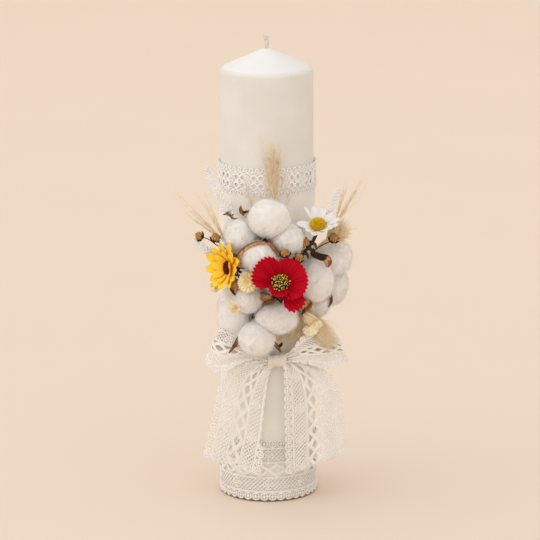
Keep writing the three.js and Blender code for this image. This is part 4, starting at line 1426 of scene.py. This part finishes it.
# ---- grasses and ferns ---------------------------------------------------------------------------
def strand(bag, start, way, length, bend, thick, rng, hairs, hair_length, tone):
    """One thin curved grass strand with short hairs along it."""
    s = np.linspace(0, 1, 14)[:, None]
    sway = unit(np.cross(way, rng.normal(size=3))) * 0.032 * length
    path = start + way * length * s + bend * length * s**2
    path += sway * np.sin(9 * s + rng.uniform(0, 6)) * s
    tube(bag, path, thick * (1 - 0.75 * s[:, 0]), 4, tone=tone)
    t = np.linspace(0, 1, 4)[:, None]
    for _ in range(hairs):
        at = rng.uniform(0.15, 1.0)
        root = start + way * length * at + bend * length * at**2
        out = unit(way + 2 * bend * at + 0.55 * unit(rng.normal(size=3)))
        reach = hair_length * rng.uniform(0.5, 1.1)
        side = unit(np.cross(out, rng.normal(size=3))) * reach * 0.15
        hair = root + out * reach * t + side * t**2
        tube(bag, hair, [0.085, 0.075, 0.06, 0.02], 3, tone=rng.uniform(0.2, 1))


def pampas(name, foot, tips, strands, spread, hairs, stem_path, hair_length, thick, start_range):
    """A plume: strands fan out from one stem towards its tips.

    Each tip has its share of the strands, their bend and, if it isn't the plume's foot, a foot of its own.
    """
    rng = random_for(name)
    bag = Bag()
    foot = np.array(foot, float)
    core = foot + (np.array(tips[0][0]) - foot) * 0.35
    stalk(bag, [core, foot] + stem_path, 16, 0.45, 7, 0.3)
    for tip, share, curve, *own_foot in tips:
        start = np.array(own_foot[0], float) if own_foot else foot
        aim = np.array(tip, float) - start
        length = np.linalg.norm(aim)
        aim = aim / length
        for _ in range(max(2, round(strands * share))):
            begin = rng.uniform(0, start_range)
            reach = length * rng.uniform(0.35, 1.06) * (1 - begin)
            scatter = rng.normal(0, spread, 3) * (1, 0.6, 1)
            bend = np.array(curve) * rng.uniform(0.5, 1.2) - scatter * 0.5
            strand(bag, start + aim * length * begin, unit(aim + scatter), reach, bend,
                   thick * rng.uniform(0.7, 1.3), rng, hairs, hair_length, rng.uniform(0.1, 1.0))
    bag.piece("plume_" + name, GRASS, "dried_grass", "pampas_" + name)


def bunny_tail(name, foot, tip, radius, stem_path, hair_length, hairs, look, thick=0.09, splay=(0.35, 0.8),
               skirts=()):
    """A soft oval seed head, all fine hairs that lie towards its tip.

    skirts are the ends that longer hairs hang to from its foot, and how many go to each.
    """
    rng = random_for(name)
    bag = Bag()
    foot, tip = np.array(foot, float), np.array(tip, float)
    axis = tip - foot
    length = np.linalg.norm(axis)
    place = facing_frame(foot, axis)
    turn = np.linspace(0, math.pi, 14)
    profile = [(radius * 0.8 * math.sin(a) ** 0.8, length * 0.4 * (1 - math.cos(a))) for a in turn]
    profile[0], profile[-1] = (0, 0), (0, length * 0.8)
    revolve(bag, profile, 28, place, lambda angle, share: 1 + 0.08 * np.sin(9 * angle + 14 * share), tone=0.5)
    t = np.linspace(0, 1, 5)[:, None]
    for _ in range(hairs):
        share = rng.uniform(0.03, 0.97)
        around = rng.uniform(0, 2 * math.pi)
        skin = radius * 0.76 * math.sin(math.pi * share) ** 0.8
        root = np.array([skin * math.cos(around), skin * math.sin(around), length * 0.8 * share])
        out = np.array([math.cos(around), math.sin(around), 0]) * rng.uniform(*splay) + (0, 0, 0.85)
        reach = hair_length * rng.uniform(0.6, 1.15)
        sway = rng.normal(0, 0.12, 3)
        path = root + unit(out) * reach * t + (np.array([0, 0, 0.25]) + sway) * reach * t**2
        taper = np.array([1, 0.9, 0.75, 0.5, 0.2])
        tube(bag, place(path), taper * thick, 3, tone=rng.uniform(0.1, 0.6) + 0.7 * share)
    stalk(bag, [foot + axis * 0.1] + stem_path, 10, 0.5, 6, 0.2)
    for end, count in skirts:
        aim = np.array(end) - foot
        for _ in range(count):
            way = aim * rng.uniform(0.45, 1.05) + rng.normal(0, 0.16, 3) * np.linalg.norm(aim) * (1, 0.25, 1)
            tube(bag, foot + way * t + (0, 0, -1.5) * t**2, np.array([1, 0.9, 0.75, 0.5, 0.25]) * 0.11, 3,
                 tone=rng.uniform(0.0, 0.6))
    bag.piece("tail_" + name, look, "dried_grass", "bunny_tail_" + name)


def fern(name, spine, pairs, reach, width):
    """A bleached sprig: a fine rib with pairs of slender pointed leaflets."""
    rng = random_for("fern" + name)
    bag = Bag()
    s = np.linspace(0, 1, 24)
    tube(bag, spline(spine, s), 0.45 - 0.25 * s, 6, tone=0.5)
    for k in range(pairs):
        for side in (-1, 1):
            share = 0.2 + 0.78 * (k + 0.25 * side) / pairs
            root = spline(spine, share)
            ahead = unit(spline(spine, min(share + 0.02, 1.0)) - spline(spine, share - 0.02))
            out = unit(np.cross(ahead, FRONT)) * side
            size = reach * (1.08 - 0.4 * share) * rng.uniform(0.85, 1.08)
            way = unit(ahead * 1.25 + out + FRONT * rng.uniform(-0.2, 0.3))
            path = [root, root + way * size * 0.55 + ahead * 0.3, root + way * size + out * size * 0.08]
            facing = unit(FRONT + 0.3 * rng.normal(size=3))
            bract(bag, path, width * rng.uniform(0.9, 1.15), 0.2, facing, rng.uniform(0.4, 0.9), 0.3)
    bag.piece("sprig_" + name, FERN, "bleached_fern", "fern_" + name)


def build_leaf():
    """Two thin pale leaves side by side, with a curled stalk."""
    bag = Bag()
    broad = [(-12, -38.8, 225), (-16, -39, 231), (-18, -38.8, 236), (-22, -38.2, 240)]
    slim = [(-16, -38.6, 224), (-22, -38.8, 228), (-25.5, -38.6, 233), (-26, -38, 238)]
    bract(bag, broad, 8, 0.15, FRONT, 0.6, 0.25)
    bract(bag, slim, 5.5, 0.15, FRONT, 0.8, 0.25)
    curl = [(-27, -42, 229), (-28.9, -42.2, 233.3), (-28.9, -42.2, 237.3), (-26.4, -42, 240.6)]
    s = np.linspace(0, 1, 14)
    tube(bag, spline(curl, s), 0.5 - 0.3 * s**2, 6, tone=1.0)
    bag.piece("leaf_pale", LEAF, "bleached_fern", "pale_leaf")


def build_seeds():
    """Small brown florets at the foot of the left fern."""
    rng = random_for("seeds")
    bag = Bag()
    for k in range(13):
        share = k / 12
        depth, rise = rng.uniform(0, 1.0), rng.uniform(-1, 1)
        root = np.array([-31 + 6.5 * share, -42.5 - depth, 227.5 - 4.5 * share + rise])
        way = unit(np.array([rng.uniform(-0.8, 1), -0.3, rng.uniform(-0.5, 0.7)]))
        spine = [root, root + way * 1.2 + 0.2 * FRONT, root + way * 2.6]
        bract(bag, spine, 0.9, 0.3, FRONT, rng.uniform(0, 0.7), 0.3)
    bag.piece("seed_heads", SEED, "bleached_fern")


def build_plumes():
    pampas("centre", (5.5, -42, 231),
           [((-1, -44, 285), 0.22, (0.04, 0, 0.0)), ((5, -44, 286), 0.20, (0.02, 0, 0)),
            ((10, -43.5, 279), 0.24, (-0.03, 0, 0)), ((-2, -43, 267), 0.10, (-0.02, 0, 0)),
            ((14, -43.5, 259), 0.07, (0.03, 0, 0)),
            ((-17, -43.5, 254), 0.07, (-0.03, 0, 0.04), (-8.6, -42, 224)),
            ((-5, -43, 243), 0.04, (-0.02, 0, 0), (-3, -42, 225)),
            ((17.5, -43, 247), 0.06, (0.03, 0, 0), (11.5, -42, 227))],
           130, 0.16, 9, [(4.6, -40, 222), (4.6, -39.6, 212)], 3.4, 0.12, 0.7)
    pampas("left", (-30, -40, 203),
           [((-67, -41, 239), 0.17, (-0.03, 0, 0.03)), ((-62, -41, 237), 0.14, (0, 0, 0.0)),
            ((-60, -41, 226), 0.14, (-0.02, 0, 0.03)), ((-53, -41.5, 244), 0.18, (0, 0, 0.03)),
            ((-47, -42, 240), 0.14, (0, 0, 0.02)), ((-54, -41, 224), 0.12, (0, 0, 0.05)),
            ((-42, -41.5, 226), 0.11, (0.02, 0, 0.04))],
           52, 0.085, 11, [(-27, -37, 197), (-22, -37, 190)], 3.2, 0.11, 0.35)
    pampas("right", (51, -26, 214),
           [((73, -25, 253), 0.35, (0.04, 0, 0.0)), ((67, -25, 240), 0.15, (0.05, 0, 0)),
            ((60.5, -25, 248), 0.25, (0.02, 0, 0.02)), ((56, -26, 238), 0.15, (-0.02, 0, 0)),
            ((63, -25, 230), 0.1, (0.05, 0, 0))],
           34, 0.11, 9, [(48, -28, 208), (40, -30, 200), (28, -32, 196)], 3.0, 0.12, 0.5)


def build_tails():
    bunny_tail("lower", (27, -38, 149), (51, -39, 119), 7.4, [(25, -37, 152), (23, -37, 156)], 7.5, 2600,
               TAIL, skirts=[((9, -45, 127), 150), ((20, -46, 124), 110), ((52, -42, 139), 40)])
    bunny_tail("upper", (44.5, -31, 203), (60.5, -31, 215.5), 4.8, [(38, -31, 197), (28, -31, 192)], 7.0, 420,
               BRISTLE, 0.36, (0.5, 1.6))


def build_ferns():
    fern("left", [(-22, -38, 216), (-27.5, -41, 225), (-32.3, -42, 234.2), (-39.1, -42, 248.7),
                  (-45.8, -42, 263)], 12, 6.4, 1.9)
    fern("right", [(42, -36, 214), (46.5, -36.5, 225), (50, -36, 235), (53.4, -36, 245)], 9, 5.0, 1.5)
    fern("low_left", [(-30, -37, 188), (-41, -38.5, 195), (-48, -39, 200), (-55, -39, 208)], 8, 5.6, 1.8)


# ---- everything ----------------------------------------------------------------------------------
add_camera()
add_light()
add_backdrop()
build_candle()
build_wick()
build_wrap()
build_tie()
build_bands()
build_bow()
build_cotton()
build_burrs()
build_glue()
build_sunflower()
build_poppy()
build_daisy()
build_pods()
build_straw()
build_plumes()
build_tails()
build_ferns()
build_leaf()
build_seeds()
